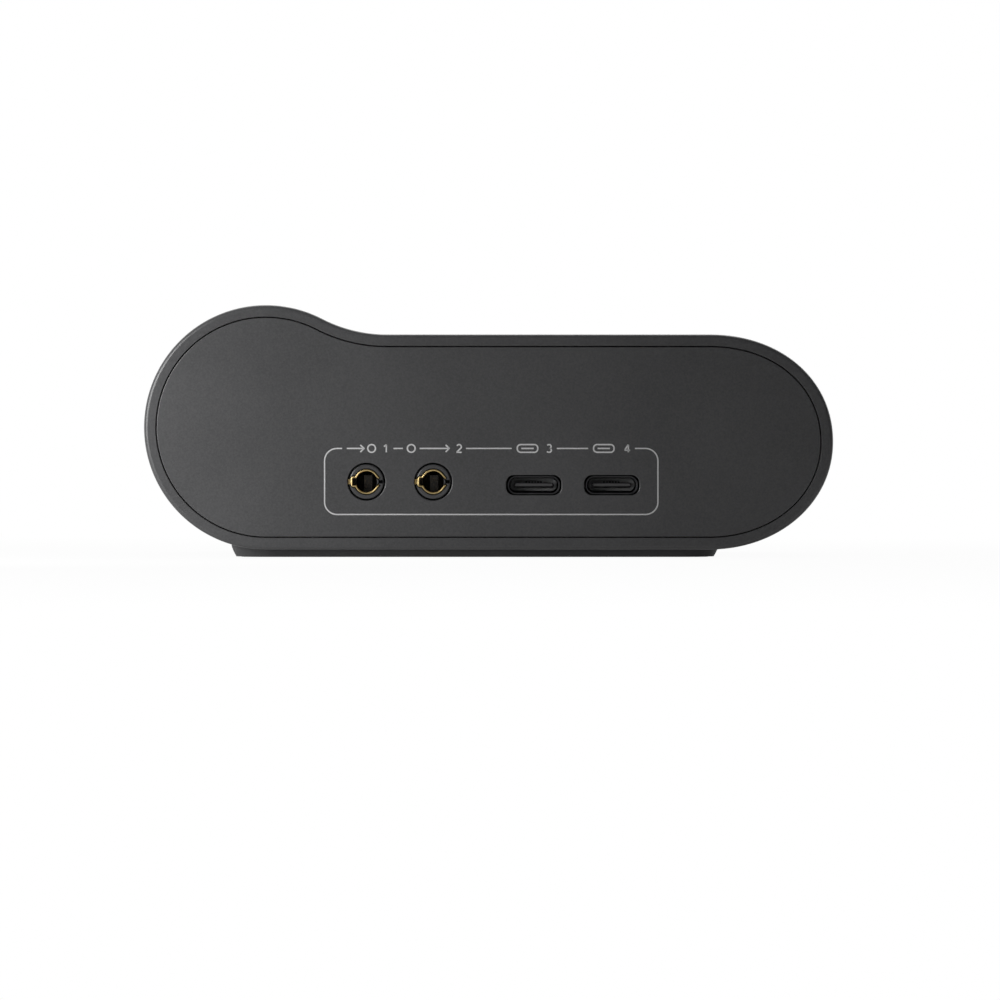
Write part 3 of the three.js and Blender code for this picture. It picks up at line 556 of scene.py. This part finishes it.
def makeFrontPanel(values):
    wanted = [("headphone_jack", "jackHole"),
              ("volume_shaft", "bushingHole"), ("gain_shaft", "bushingHole"),
              ("mute_button", "buttonHole"), ("phantom_button", "buttonHole"),
              ("microphone_socket", "socketHole"),
              ("socket_screw_1", "screwHole"), ("socket_screw_2", "screwHole")]
    holes = [roundHole(node, values[size]) for node, size in wanted]
    makePanel("control_panel", "front_panel", housing, holes, values["holeEdge"], 1)


makeFrontPanel(frontPorts)
print("panels made")


# Base: a thin tray with flared sides that follows the shell's underside, and its pad.
base = {
    "left": 6.35,          # from the hump's centre out to the rim
    "right": 1.95,         # from the nose's centre out to the rim
    "setback": 3.15,       # of the rim from each panel's face
    "flare": 0.85,         # how far the foot lies inside the rim
    "flarePower": 1.5,
    "lip": 0.8,            # how far the rim reaches above the shell's underside
    "corner": 6.9,
    "clear": 0.06,         # gap under the shell
    "padRound": 0.1, "padCorner": 5.25, "padGap": 0.2,
}


# Side: the inset is the flare times a power of the share of the height that is left. The
# bed is the hump's underside, a circle's height beyond the hump's centre.
def makeBase(values):
    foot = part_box("base_plate")[0].z
    humpRadius = (shellHigh.z - underside) / 2
    humpX = humpRadius - housing["width"] / 2 * mm
    left = humpX - values["left"] * mm
    right = (housing["width"] / 2 - housing["noseReach"] + values["right"]) * mm
    depth = frontFace - backFace - 2 * values["setback"] * mm
    rise = underside + values["lip"] * mm - foot
    loop = roundedLoop(right - left, depth, values["corner"] * mm, 16, ((left + right) / 2, 0))
    flare, power = values["flare"] * mm, values["flarePower"]
    stations = [(foot + rise * t, flare * (1 - t) ** power) for t in np.linspace(0, 1, 19)]
    points, faces = sweep(loop, stations)
    beyond = np.clip(humpX - points[:, 0], 0, None)
    bed = underside + humpRadius - np.sqrt(humpRadius ** 2 - beyond ** 2)
    points[:, 2] = np.minimum(points[:, 2], bed - values["clear"] * mm)
    piece = makeMesh("base_tray", (points, faces), finishes["base"])
    low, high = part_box("base_pad")
    loop = roundedLoop(high.x - low.x, high.y - low.y, values["padCorner"] * mm, 16,
                       ((low.x + high.x) / 2, (low.y + high.y) / 2))
    gap = values["padGap"] * mm
    carved(piece, [sweep(loop, [(-past, -gap), (high.z, -gap)])])
    dressed(piece, "housing", "base_plastic", "base_plate")
    rounding = roundedEdge(values["padRound"] * mm, 3)
    stations = [(low.z + up, inset) for inset, up in rounding] + [(high.z, 0)]
    piece = makeMesh("soft_pad", sweep(loop, stations), finishes["rubber"])
    dressed(piece, "housing", "pad_rubber", "base_pad")


makeBase(base)
print("base made")


# Small jack: a slotted nozzle on a block, with a rolled sleeve contact inside.
jack = {
    "nozzle": 5.87, "nozzleRound": 0.28, "nozzleLength": 2.3, "overlap": 0.5,
    "block": 6.0, "blockCorner": 0.5, "length": 14.3,
    "bore": 3.6, "mouthEdge": 0.08, "rearWall": 1.0,
    "sheet": 0.33, "gap": 0.13, "edge": 0.155, "recess": 0.15, "sleeveLength": 5.0, "endRoom": 0.3,
    "lipStart": 40, "lip": 0.96, "foldReach": 2.68, "foldHeight": 1.9, "foldCorner": 0.32,
    "tabReach": 3.17, "tabHeight": 0.95, "tabRecess": 0.75, "tabCorner": 0.08, "tabEdge": 0.06,
    "keyFrom": 2.02, "keyTo": 2.78, "keyHeight": 0.6, "keyDepth": 3.0,
    "leafRoom": 2.0, "leafPocket": 6.1, "leafLow": 0.9, "stemRoom": 0.9, "stemLow": -2.7,
}


# Line through the middle of the sleeve's sheet: a straight lip, an arc round the bore, half
# of a square fold with a round corner, and then the same again in mirror image.
def sleeveLine(values):
    radius = (values["bore"] + values["sheet"]) / 2
    reach = values["foldReach"] - values["sheet"] / 2
    half = (values["foldHeight"] - values["sheet"]) / 2
    corner = values["foldCorner"]
    start = math.radians(values["lipStart"])
    upper = arcPoints((0, 0), (radius, radius), start, math.pi - math.asin(half / radius), 48)
    lip = upper[0] + values["lip"] * np.array([math.sin(start), -math.cos(start)])
    fold = arcPoints((corner - reach, half - corner), (corner, corner), math.pi / 2, math.pi, 8)
    side = np.vstack([lip, upper, fold])
    return np.vstack([side, side[::-1] * (1, -1)]) * mm


def makeJack(name, values, outward):
    low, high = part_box(f"{name}_jack")
    place = (low + high) / 2
    face = low.y if outward < 0 else high.y
    size = metres(values)
    gap, sheet, recess, tabStart = (size[key] for key in ("gap", "sheet", "recess", "tabRecess"))
    radius, bore, half = (size[key] / 2 for key in ("nozzle", "bore", "block"))
    tabHalf, keyHalf, room = (size[key] / 2 for key in ("tabHeight", "keyHeight", "leafRoom"))
    fold, mouth, tabEdge = (size[key] for key in ("foldReach", "mouthEdge", "tabEdge"))
    boreEnd = size["length"] - size["rearWall"]
    end = recess + size["sleeveLength"]
    cutEnd = end + size["endRoom"]
    foldHalf = (size["foldHeight"] - sheet) / 2
    loop = sheetLoop(sleeveLine(values), sheet)

    tip = [(along, radius - inset) for inset, along in roundedEdge(size["nozzleRound"], 5)]
    nozzle = laid(turn(tip + [(size["nozzleLength"] + size["overlap"], radius)], 120))
    block = laid(sweep(roundedLoop(2 * half, 2 * half, size["blockCorner"], 6),
                       [(size["nozzleLength"], 0), (size["length"], 0)]))
    boreStations = [(-past, bore + mouth), (0, bore + mouth), (mouth, bore), (boreEnd, bore)]
    sleeveRoom = [
        laid(turn(boreStations, 96)),
        laid(sweep(loop, [(-past, -gap), (cutEnd, -gap)])),
        boxShape((sheet / 2 - fold, 0), (-past, cutEnd), (-foldHalf, foldHalf)),
    ]
    nozzleSlots = [
        boxShape((-half, 2 * gap - fold), (-past, tabStart + sheet + gap),
                 (-tabHalf - gap, tabHalf + gap)),
        boxShape((size["keyFrom"], size["keyTo"]), (-past, size["keyDepth"]), (-keyHalf, keyHalf)),
    ]
    leafSlots = [
        boxShape((-room, room), (boreEnd - size["leafPocket"], boreEnd),
                 (size["leafLow"], half + past)),
        boxShape((-room, room), (boreEnd - size["stemRoom"], boreEnd), (size["stemLow"], half)),
    ]
    rounding = roundedEdge(size["edge"], 4)
    sleeve = laid(sweep(loop, [(recess + up, inset) for inset, up in rounding] + [(end, 0)]))
    tabLoop = roundedLoop(size["tabReach"] - fold + sheet / 2, 2 * tabHalf, size["tabCorner"], 3,
                          (sheet / 4 - (size["tabReach"] + fold) / 2, 0))
    tab = laid(sweep(tabLoop, [(tabStart, tabEdge), (tabStart + tabEdge, 0),
                               (tabStart + sheet, 0)]))

    def settled(shape):
        points, faces = facedFront(shape) if outward > 0 else shape
        return points + np.array((place.x, face, place.z)), faces

    piece = makeMesh(f"{name}_socket", settled(nozzle), finishes["nozzle"])
    rear = makeMesh(f"{name}_block", settled(block), finishes["black"])
    carved(piece, [settled(tool) for tool in sleeveRoom + nozzleSlots])
    carved(rear, [settled(tool) for tool in sleeveRoom + leafSlots])
    dressed(piece, "housing", "nozzle_plastic", f"{name}_jack")
    dressed(rear, "housing", "black_plastic")
    contact = makeMesh(f"{name}_sleeve", joined(settled(sleeve), settled(tab)), finishes["gilt"])
    dressed(contact, "housing", "gilt_contact", f"{name}_sleeve_contact")


makeJack("line_in", jack, -1)
makeJack("line_out", jack, -1)
makeJack("headphone", jack, 1)
print("jacks made")


# USB-C receptacle: a drawn steel can with a rounded lip, and a tongue with its contacts.
usb = {
    "width": 8.94, "height": 3.16, "corner": 1.5, "sheet": 0.3, "length": 7.3, "lip": 0.08,
    "tongueWidth": 6.6, "tongue": 0.74, "tongueCorner": 0.18, "tongueRise": 0.05,
    "tongueStart": 0.6, "tongueTaper": 0.18, "taperLength": 0.4, "tongueHold": 0.2,
    "rootStart": 3.6, "rootWidth": 7.94, "rootLow": -0.96, "rootHigh": 1.18,
    "rootCorner": 0.95, "rootEdge": 0.1, "rootShort": 0.1,
    "tail": 1.0, "tailFit": 0.08,              # the last of the root, pressed into the can
    "pocketWidth": 6.78, "pocketLow": -0.5, "pocketHigh": 0.96, "pocketDepth": 1.2,
    "pocketCorner": 0.3, "overlap": 0.01,
    "padCount": 12, "padPitch": 0.5, "padWidth": 0.27, "padStart": 0.55, "padLength": 2.6,
    "padRise": 0.02, "padSheet": 0.06,
    "heelCount": 6, "heel": 0.2, "heelSink": 0.1, "heelRecess": 0.1,
}


def makeUsb(number, values):
    low, high, x, z = span(f"usb_{number}_shell")
    size = metres(values)
    mouth, sheet, lip = low.y, size["sheet"], size["lip"]
    canEnd = mouth + size["length"]
    loop = roundedLoop(size["width"], size["height"], size["corner"], 14, (x, z))
    stations = [(mouth + lip, sheet), (mouth, sheet - lip), (mouth, lip),
                (mouth + lip * 0.3, lip * 0.3), (mouth + lip, 0), (canEnd, 0), (canEnd, sheet)]
    can = makeMesh(f"usb_{number}_can", laid(sweep(loop, stations, ringed=True)), finishes["can"])
    dressed(can, "housing", "black_steel", f"usb_{number}_shell")

    def opening(width, bottom, top, corner, count):
        return roundedLoop(width, top - bottom, corner, count, (x, z + (top + bottom) / 2))

    inside = opening(size["rootWidth"], size["rootLow"], size["rootHigh"], size["rootCorner"], 10)
    pocket = opening(size["pocketWidth"], size["pocketLow"], size["pocketHigh"],
                     size["pocketCorner"], 6)
    root, rootEdge = mouth + size["rootStart"], size["rootEdge"]
    pocketEnd, end = root + size["pocketDepth"], canEnd - size["rootShort"]
    tail, fit = end - size["tail"], size["tailFit"]
    rim = laid(sweep(inside, [(root, rootEdge), (root + rootEdge, 0), (pocketEnd, 0)],
                     [(pocket, [(root, 0), (pocketEnd, 0)])]))
    rear = laid(sweep(inside, [(pocketEnd - size["overlap"], 0), (tail, 0), (tail, -fit),
                               (end, -fit)]))
    start, level = mouth + size["tongueStart"], z + size["tongueRise"]
    blade = roundedLoop(size["tongueWidth"], size["tongue"], size["tongueCorner"], 5, (x, level))
    bladeShape = laid(sweep(blade, [(start, size["tongueTaper"]), (start + size["taperLength"], 0),
                                    (pocketEnd + size["tongueHold"], 0)]))
    tongue = makeMesh(f"usb_{number}_blade", bladeShape, finishes["tongue"])
    dressed(tongue, "housing", "black_plastic", f"usb_{number}_tongue")
    # The root holder's light grey finish is painted light on black plastic that lies in the can's
    # shade.
    holder = makeMesh(f"usb_{number}_root", joined(rim, rear), finishes["root"])
    dressed(holder, "housing", "black_plastic")

    padHalf, rise = size["padWidth"] / 2, size["tongue"] / 2 + size["padRise"]
    padStart, recess = start + size["padStart"], size["heelRecess"]
    pads = []
    for index in range(values["padCount"]):
        offset = index - (values["padCount"] - 1) / 2
        centre = x + offset * size["padPitch"]
        wide = (centre - padHalf, centre + padHalf)
        for side in (-1, 1):
            tall = sorted((level + side * rise, level + side * (rise - size["padSheet"])))
            pads.append(boxShape(wide, (padStart, padStart + size["padLength"]), tall))
        if abs(offset) < values["heelCount"] / 2:
            tall = (level + rise - size["heelSink"], level + rise + size["heel"])
            pads.append(boxShape(wide, (root + recess, pocketEnd + recess), tall))
    # The pads and heels take the dark black-steel finish as painted shade: gold contacts in the
    # can's shade, coloured dark.
    contacts = makeMesh(f"usb_{number}_contacts", joined(*pads), finishes["blackSteel"])
    dressed(contacts, "housing", "black_steel")


for number in (1, 2):
    makeUsb(number, usb)
print("receptacles made")


# Microphone socket: a round well with an insert that has three contact holes and a bore.
socket = {
    "barrel": [(27.6, 10), (28, 10.5), (28, 11.5), (2.3, 11.9)],   # (depth, radius) outside
    "nose": 11.5, "proud": 0.6, "noseEdge": 0.5, "noseRound": 0.15,
    "mouth": 9.7, "mouthWider": 0.4, "mouthDepth": 0.35,
    "wellDepth": 14, "insert": 7.9, "insertRecess": 1.0, "insertEdge": 0.3, "insertMiddle": 0.5,
    "bore": 3.3, "boreDepth": 24, "frontRoom": 3.0,
    "pinCircle": 5.0, "pinHole": 1.35, "pinDepth": 9, "pinAngles": (30, 150, 270),
    "keyHalf": 0.8, "keyDepth": 12, "keyInside": 1.0, "keyOutside": 0.5,
    "cutEdge": 0.06,
}


def makeSocket(values):
    x, z = span("microphone_socket")[2:]
    face, front = frontFace, frontFace + values["frontRoom"] * mm
    nose, proud, mouth, insert = (values[key] for key in ("nose", "proud", "mouth", "insert"))
    edge, bevel, chamfer = (values[key] for key in ("noseEdge", "noseRound", "insertEdge"))
    well, recess = -values["wellDepth"], -values["insertRecess"]
    profile = [(-depth, radius) for depth, radius in values["barrel"]]
    profile += [
        (profile[-1][0], nose), (proud - edge, nose), (proud - bevel, nose - bevel),
        (proud, nose - edge), (proud, mouth + values["mouthWider"]),
        (proud - values["mouthDepth"], mouth), (well, mouth), (well, insert),
        (recess - chamfer, insert), (recess, insert - chamfer), (recess, values["insertMiddle"]),
    ]
    stations = [(face + along * mm, radius * mm) for along, radius in profile]
    piece = makeMesh("microphone_inlet", laid(turn(stations, 120, (x, z))), finishes["black"])

    def hole(depth, radius, count, centre):
        return laid(turn([(face - depth * mm, radius * mm), (front, radius * mm)], count, centre))

    tools = [hole(values["boreDepth"], values["bore"], 64, (x, z))]
    reach = values["pinCircle"] * mm
    for angle in np.radians(values["pinAngles"]).tolist():
        centre = (x - reach * math.cos(angle), z + reach * math.sin(angle))
        tools.append(hole(values["pinDepth"], values["pinHole"], 32, centre))
    keyHalf = values["keyHalf"] * mm
    tools.append(boxShape((x - keyHalf, x + keyHalf), (face - values["keyDepth"] * mm, front),
                          (z + (insert - values["keyInside"]) * mm,
                           z + (insert + values["keyOutside"]) * mm)))
    carved(piece, tools, values["cutEdge"])
    dressed(piece, "housing", "black_plastic", "microphone_socket")


makeSocket(socket)


# Panel screws beside the socket, with a cross recess.
panelScrew = {
    "dome": 1.3, "flatShare": 0.35, "shank": 1.1, "tip": 0.9, "tipLength": 0.3,
    "arm": 1.25, "armHalf": 0.28, "recess": 0.6, "cutEdge": 0.03,
}


# Dome: the height goes with the sine, and the radius with the cosine down to a flat top.
def makeSocketScrew(number, values):
    low, high, x, z = span(f"socket_screw_{number}")
    radius, face, flat = (high.x - low.x) / 2, frontFace, values["flatShare"]
    size = metres(values)
    height, shank, arm, half = (size[key] for key in ("dome", "shank", "arm", "armHalf"))
    dome = [(face + height * math.sin(a), radius * (flat + (1 - flat) * math.cos(a)))
            for a in np.linspace(0, math.pi / 2, 7)]
    stations = [(low.y, size["tip"]), (low.y + size["tipLength"], shank), (face, shank)] + dome
    shape = laid(turn(stations, 48, (x, z)))
    piece = makeMesh(f"inlet_screw_{number}", shape, finishes["blackSteel"])
    deep = (face + height - size["recess"], face + height + past)
    carved(piece, [boxShape((x - arm, x + arm), deep, (z - half, z + half)),
                   boxShape((x - half, x + half), deep, (z - arm, z + arm))], values["cutEdge"])
    dressed(piece, "housing", "black_steel", f"socket_screw_{number}")


for number in (1, 2):
    makeSocketScrew(number, panelScrew)
print("microphone socket made")


# Knobs: radius at an angle and a height is the turned profile less a shallow flute that
# fades out at both ends of the grip.
knobs = {
    "volume": {"flutes": 90, "fluteDepth": 0.16, "steps": 720,
               "round": 1.1, "dish": 0.35, "wall": 2.0},
    "gain": {"flutes": 48, "fluteDepth": 0.14, "steps": 384,
             "round": 0.9, "dish": 0.2, "wall": 1.0},
}
grip = {
    "skirt": 0.3, "fluteLow": 1.2, "fluteHigh": 0.8, "fade": 0.4,     # from each end of the grip
    "dishShares": (0.9, 0.7, 0.5, 0.3, 0.1, 0.02),
    "markWidth": 1.0, "markFrom": 0.5, "markEnd": 0.4, "markDepth": 0.75,
    "inlayShare": 0.92, "inlayGap": 0.04, "inlayTop": 0.28, "inlayFoot": 0.8,
}


def makeKnob(name, values, shared):
    low, high, x, z = span(f"{name}_knob")
    radius, bottom, top = (high.x - low.x) / 2, low.y, high.y
    wall, edge, dish = (values[key] * mm for key in ("wall", "round", "dish"))
    skirt, fade = shared["skirt"] * mm, shared["fade"] * mm
    start, end = bottom + shared["fluteLow"] * mm, top - edge - shared["fluteHigh"] * mm
    ceiling = top - wall
    rows = [(ceiling, 0.02 * radius, 0), (ceiling, radius - wall, 0), (bottom, radius - wall, 0)]
    rows += [(bottom, radius - skirt, 0), (bottom + skirt, radius, 0), (start, radius, 0),
             (start + fade, radius, 1), (end - fade, radius, 1), (end, radius, 0)]
    rows += [(top - up, radius - inset, 0) for inset, up in reversed(roundedEdge(edge, 6))]
    rows += [(top - dish * (1 - share ** 2), (radius - edge) * share, 0)
             for share in shared["dishShares"]]
    rows = np.array(rows)
    count = values["steps"]
    angle = np.linspace(0, 2 * math.pi, count, endpoint=False)
    flute = 0.5 * (1 - np.cos(values["flutes"] * angle)) * values["fluteDepth"] * mm
    reach = rows[:, 1:2] - rows[:, 2:3] * flute[None, :]
    grid = np.stack([x + reach * np.cos(angle), z + reach * np.sin(angle),
                     np.repeat(rows[:, 0:1], count, axis=1)], axis=-1)
    faces = gridFaces(len(rows), count).tolist()
    faces += [list(range(count))[::-1], list(range((len(rows) - 1) * count, len(rows) * count))]
    shape = laid((grid.reshape(-1, 3), faces))
    piece = makeMesh(f"{name}_dial", shape, finishes["knob"], 40)
    half, start = shared["markWidth"] / 2 * mm, z + radius * shared["markFrom"]
    end = z + radius - edge - shared["markEnd"] * mm
    groove = boxShape((x - half, x + half), (top - shared["markDepth"] * mm, top + past),
                      (start, end))
    carved(piece, [groove], sharp=40)
    dressed(piece, name, "knob_paint", f"{name}_knob")
    half, gap = half * shared["inlayShare"], shared["inlayGap"] * mm
    inlay = boxShape((x - half, x + half),
                     (top - shared["inlayFoot"] * mm, top - shared["inlayTop"] * mm),
                     (start + gap, end - gap))
    mark = makeMesh(f"{name}_pointer", inlay, finishes["mark"])
    dressed(mark, name, "button_plastic")


for name, values in knobs.items():
    makeKnob(name, values, grip)
print("knobs made")


# Buttons: a cap with a rounded shoulder and a shallow dish, on its flange and stem.
button = {
    "radius": 3.4, "round": 0.45, "dish": 0.25, "dishShares": (0.85, 0.65, 0.45, 0.25, 0.05),
    "stem": 1.3, "flangeBack": 1.3, "flangeFront": 0.3,      # the flange lies behind the panel
}


def makeButton(name, values):
    low, high, x, z = span(f"{name}_button")
    flange = (high.x - low.x) / 2
    panelBack = frontFace - housing["panel"] * mm
    radius, edge, dish, stem = (values[key] * mm for key in ("radius", "round", "dish", "stem"))
    back, front = (panelBack - values[key] * mm for key in ("flangeBack", "flangeFront"))
    stations = [(low.y, stem), (back, stem), (back, flange), (front, flange), (front, radius)]
    stations += [(high.y - up, radius - inset) for inset, up in reversed(roundedEdge(edge, 6))]
    stations += [(high.y - dish * (1 - share ** 2), (radius - edge) * share)
                 for share in values["dishShares"]]
    piece = makeMesh(f"{name}_cap", laid(turn(stations, 72, (x, z))), finishes["button"])
    dressed(piece, name, "button_plastic", f"{name}_button")


for name in ("mute", "phantom"):
    makeButton(name, button)
print("buttons made")


# Printed marks on the back panel: a frame that breaks for a sign over each port. The signs
# are plain: an arrow into or out of a ring for the jacks, an outline of the slot for the
# others, and a number.
marks = {
    "left": -27.8, "right": 28.7, "low": 7.25, "high": 18.44, "corner": 2.1, "line": 0.22,
    "thick": 0.012, "lift": 0.001,
    "breaks": [(-24.81, -16.12), (-14.54, -3.83), (3.9, 11.56), (16.88, 24.81)],
    "signs": [(-24.03, -16.88), (-13.88, -4.44), (4.75, 10.81), (17.68, 24.08)],
    "stroke": 0.24, "height": 1.55, "digitWidth": 1.14,
    "arrowHead": 0.6, "headOverlap": 0.1,
    "arrowIn": (0, 2.9), "ringIn": 4.2, "arrowOut": (2.2, 7.2),     # from the sign's left end
    "slotWidth": 3.7, "slotCorner": 0.7, "slotBar": 2.1,
}


# Digits as strokes in a box from -1 to 1 across and 0 to 1 up.
digitStrokes = {
    1: [[(-0.6, 0.74), (0.25, 1.0)], [(0.25, 1.0), (0.25, 0.0)]],
    2: [np.vstack([arcPoints((0, 0.7), (0.85, 0.3), 0.85 * math.pi, -0.15 * math.pi, 16),
                   [(-0.85, 0.04)]]),
        [(-1.0, 0.0), (1.0, 0.0)]],
    3: [arcPoints((0, 0.75), (0.8, 0.25), 0.8 * math.pi, -0.5 * math.pi, 16),
        arcPoints((0, 0.25), (0.9, 0.25), 0.5 * math.pi, -0.8 * math.pi, 16)],
    4: [[(0.35, 1.0), (-0.95, 0.3)], [(-1.05, 0.27), (1.05, 0.27)], [(0.4, 1.0), (0.4, 0.0)]],
}


def ribbon(path, width, low, high):
    return laid(sweep(sheetLoop(np.asarray(path, float) * mm, width), [(low, 0), (high, 0)]))


def makeMarks(values):
    low = backFace - values["thick"] * mm
    high = backFace - values["lift"] * mm
    left, right, floor, top = (values[key] for key in ("left", "right", "low", "high"))
    breaks, corner = values["breaks"], values["corner"]

    def bend(x, z, start):
        return arcPoints((x, z), (corner, corner), start * math.pi, (start + 0.5) * math.pi, 12)

    around = np.vstack([
        (breaks[0][0], top),
        bend(left + corner, top - corner, 0.5), bend(left + corner, floor + corner, 1),
        bend(right - corner, floor + corner, 1.5), bend(right - corner, top - corner, 0),
        (breaks[-1][1], top),
    ])
    shapes = [ribbon(around, values["line"] * mm, low, high)]
    for before, after in zip(breaks, breaks[1:]):
        shapes.append(ribbon([(before[1], top), (after[0], top)], values["line"] * mm, low, high))
    piece = makeMesh("printed_frame", joined(*shapes), finishes["ink"])
    dressed(piece, "housing", "nozzle_plastic")

    stroke = values["stroke"] * mm
    half = values["height"] / 2

    def outlined(loop):
        return laid(sweep(loop, [(low, 0), (high, 0)], [(loop, [(low, stroke), (high, stroke)])]))

    def ring(x):
        return outlined(circleLoop(half * mm, 48, (x * mm, top * mm)))

    def arrow(x, ends):
        start, tip = x + ends[0], x + ends[1]
        head = values["arrowHead"]
        point = [(tip - head, top + head), (tip, top), (tip - head, top - head)]
        shaft = [(start, top), (tip - values["headOverlap"], top)]
        return [ribbon(point, stroke, low, high), ribbon(shaft, stroke, low, high)]

    def slotSign(x):
        x += values["slotWidth"] / 2
        bar = values["slotBar"] / 2
        loop = roundedLoop(values["slotWidth"] * mm, 2 * half * mm, values["slotCorner"] * mm, 10,
                           (x * mm, top * mm))
        return [outlined(loop), ribbon([(x - bar, top), (x + bar, top)], stroke, low, high)]

    starts = [start for start, end in values["signs"]]
    signs = [arrow(starts[0], values["arrowIn"]) + [ring(starts[0] + values["ringIn"])],
             [ring(starts[1] + half)] + arrow(starts[1], values["arrowOut"]),
             slotSign(starts[2]), slotSign(starts[3])]
    reach = (values["digitWidth"] - values["stroke"]) / 2
    rise = values["height"] - values["stroke"]
    for number, (sign, zone) in enumerate(zip(signs, values["signs"]), 1):
        centre = np.array((zone[1] - values["digitWidth"] / 2, top - rise / 2))
        digit = [ribbon(np.array(strokes) * (reach, rise) + centre, stroke, low, high)
                 for strokes in digitStrokes[number]]
        piece = makeMesh(f"printed_sign_{number}", joined(*sign, *digit), finishes["ink"])
        dressed(piece, "housing", "nozzle_plastic")


makeMarks(marks)
print("marks made")


# CAD nodes that stay as they are, by the starts of their names, with a finish each.
kept = {
    "board": ["main_board", "front_board"],
    "brass": ["standoff"],
    "steel": ["board_screw", "floor_screw", "front_board_screw", "power_capacitor",
              "clock_crystal", "volume_potentiometer", "volume_nut", "volume_shaft",
              "gain_potentiometer", "gain_nut", "gain_shaft"],
    "gilt": ["microphone_contact"],
    "spring": ["line_in_tip_contact", "line_out_tip_contact", "headphone_tip_contact"],
    "black": ["processor", "converter", "headphone_amplifier", "power_inductor", "board_link",
              "mute_switch", "phantom_switch"],
}
for finish, starts in kept.items():
    for name, node in nodes.items():
        if node.hide_render or not any(name.startswith(start) for start in starts):
            continue
        node.data.materials.clear()
        node.data.materials.append(finishes[finish])
print("kept nodes dressed")


# Floor, world and lamps: plain and pale. A ramp is where the white seen in reflections
# comes up along Y: in metres on the floor, and by the ray's direction in the world.
light = {
    "floorSize": 6.0, "floorTone": 235,
    "nearGlow": 0.96,                       # share of plain white in the floor by the object
    "nearReach": 0.12, "farReach": 0.5,     # distances between which that rises to 1
    "frontShare": 0.05,                     # share of it in reflections before the object
    "floorRamp": (-0.09, 0.05), "skyRamp": (-0.2, 0.2),
    "roomLevel": 0.08,
    "lamps": {
        "key": {"power": 0.198, "size": 0.11, "spread": 122,
                "place": (-0.165, -0.18, 0.06), "aim": (-0.11, -0.05, -0.02)},
        "top": {"power": 1.4, "size": 0.6, "spread": 180,
                "place": (0.0, 0.3, 0.65), "aim": (0, 0, 0.02)},
        "front": {"power": 2.6, "size": 0.7, "spread": 180,
                  "place": (0.25, 0.6, 0.4), "aim": (0, 0, 0.02)},
    },
}


def mathNode(tree, operation, first, second):
    node = tree.nodes.new("ShaderNodeMath")
    node.operation = operation
    tree.links.new(first, node.inputs[0])
    tree.links.new(second, node.inputs[1])
    return node.outputs[0]


# Mixes a lit shader and a plain white one, and puts the result on the output.
def mixedOutput(tree, factor, lit, white, output):
    mix = tree.nodes.new("ShaderNodeMixShader")
    tree.links.new(factor, mix.inputs["Fac"])
    tree.links.new(lit.outputs[0], mix.inputs[1])
    tree.links.new(white.outputs[0], mix.inputs[2])
    tree.links.new(mix.outputs[0], output.inputs["Surface"])


# The floor is lit near the object, to keep its shadow, and plain white far off. In
# reflections it is whitest behind the object.
def makeFloor(values):
    size = values["floorSize"] / 2
    corners = np.array([[-size, -size, 0], [size, -size, 0], [size, size, 0], [-size, size, 0]])
    material, tree, shader, place = startMaterial("pale_floor", roughness=0.9, specular=0.2)
    shader.inputs["Base Color"].default_value = screen(values["floorTone"])
    glow = tree.nodes.new("ShaderNodeEmission")
    path = tree.nodes.new("ShaderNodeLightPath")
    away = tree.nodes.new("ShaderNodeVectorMath")
    away.operation = "LENGTH"
    tree.links.new(place, away.inputs[0])
    share = ranged(tree, away.outputs["Value"], values["nearGlow"], 1,
                   values["nearReach"], values["farReach"])
    parts = tree.nodes.new("ShaderNodeSeparateXYZ")
    tree.links.new(place, parts.inputs[0])
    behind = ranged(tree, parts.outputs["Y"], values["frontShare"], 1, *values["floorRamp"])
    behind = mathNode(tree, "MULTIPLY", path.outputs["Is Glossy Ray"], behind)
    seen = mathNode(tree, "MAXIMUM", path.outputs["Is Camera Ray"], behind)
    factor = mathNode(tree, "MULTIPLY", share, seen)
    mixedOutput(tree, factor, shader, glow, tree.nodes["Material Output"])
    makeMesh("floor", (corners, [[0, 1, 2, 3]]), material)


# The world is white to the camera. Reflections see it white behind the object, and as dim
# as the room is on the side of the back panel.
def makeWorld(values):
    world = bpy.data.worlds.new("pale_world")
    scene.world = world
    world.use_nodes = True
    tree = world.node_tree
    dim = tree.nodes["Background"]
    dim.inputs["Color"].default_value = (1, 1, 1, 1)
    dim.inputs["Strength"].default_value = values["roomLevel"]
    white = tree.nodes.new("ShaderNodeBackground")
    white.inputs["Color"].default_value = (1, 1, 1, 1)
    path = tree.nodes.new("ShaderNodeLightPath")
    parts = tree.nodes.new("ShaderNodeSeparateXYZ")
    tree.links.new(tree.nodes.new("ShaderNodeTexCoord").outputs["Generated"], parts.inputs[0])
    behind = ranged(tree, parts.outputs["Y"], 0, 1, *values["skyRamp"])
    seen = mathNode(tree, "MAXIMUM", path.outputs["Is Glossy Ray"],
                    path.outputs["Is Transmission Ray"])
    seen = mathNode(tree, "MULTIPLY", seen, behind)
    factor = mathNode(tree, "MAXIMUM", seen, path.outputs["Is Camera Ray"])
    mixedOutput(tree, factor, dim, white, tree.nodes["World Output"])


def makeLamp(name, values):
    data = bpy.data.lights.new(f"{name}_lamp", "AREA")
    data.energy = values["power"]
    data.size = values["size"]
    data.spread = math.radians(values["spread"])
    lamp = bpy.data.objects.new(f"{name}_lamp", data)
    lamp.location = values["place"]
    aim = Vector(values["aim"]) - lamp.location
    lamp.rotation_euler = aim.to_track_quat("-Z", "Y").to_euler()
    lamp.visible_camera = False
    scene.collection.objects.link(lamp)


makeFloor(light)
makeWorld(light)
for name, values in light["lamps"].items():
    makeLamp(name, values)
placeCamera(cameraValues, backFace)
scene.view_settings.view_transform = "Standard"
print("stage set")
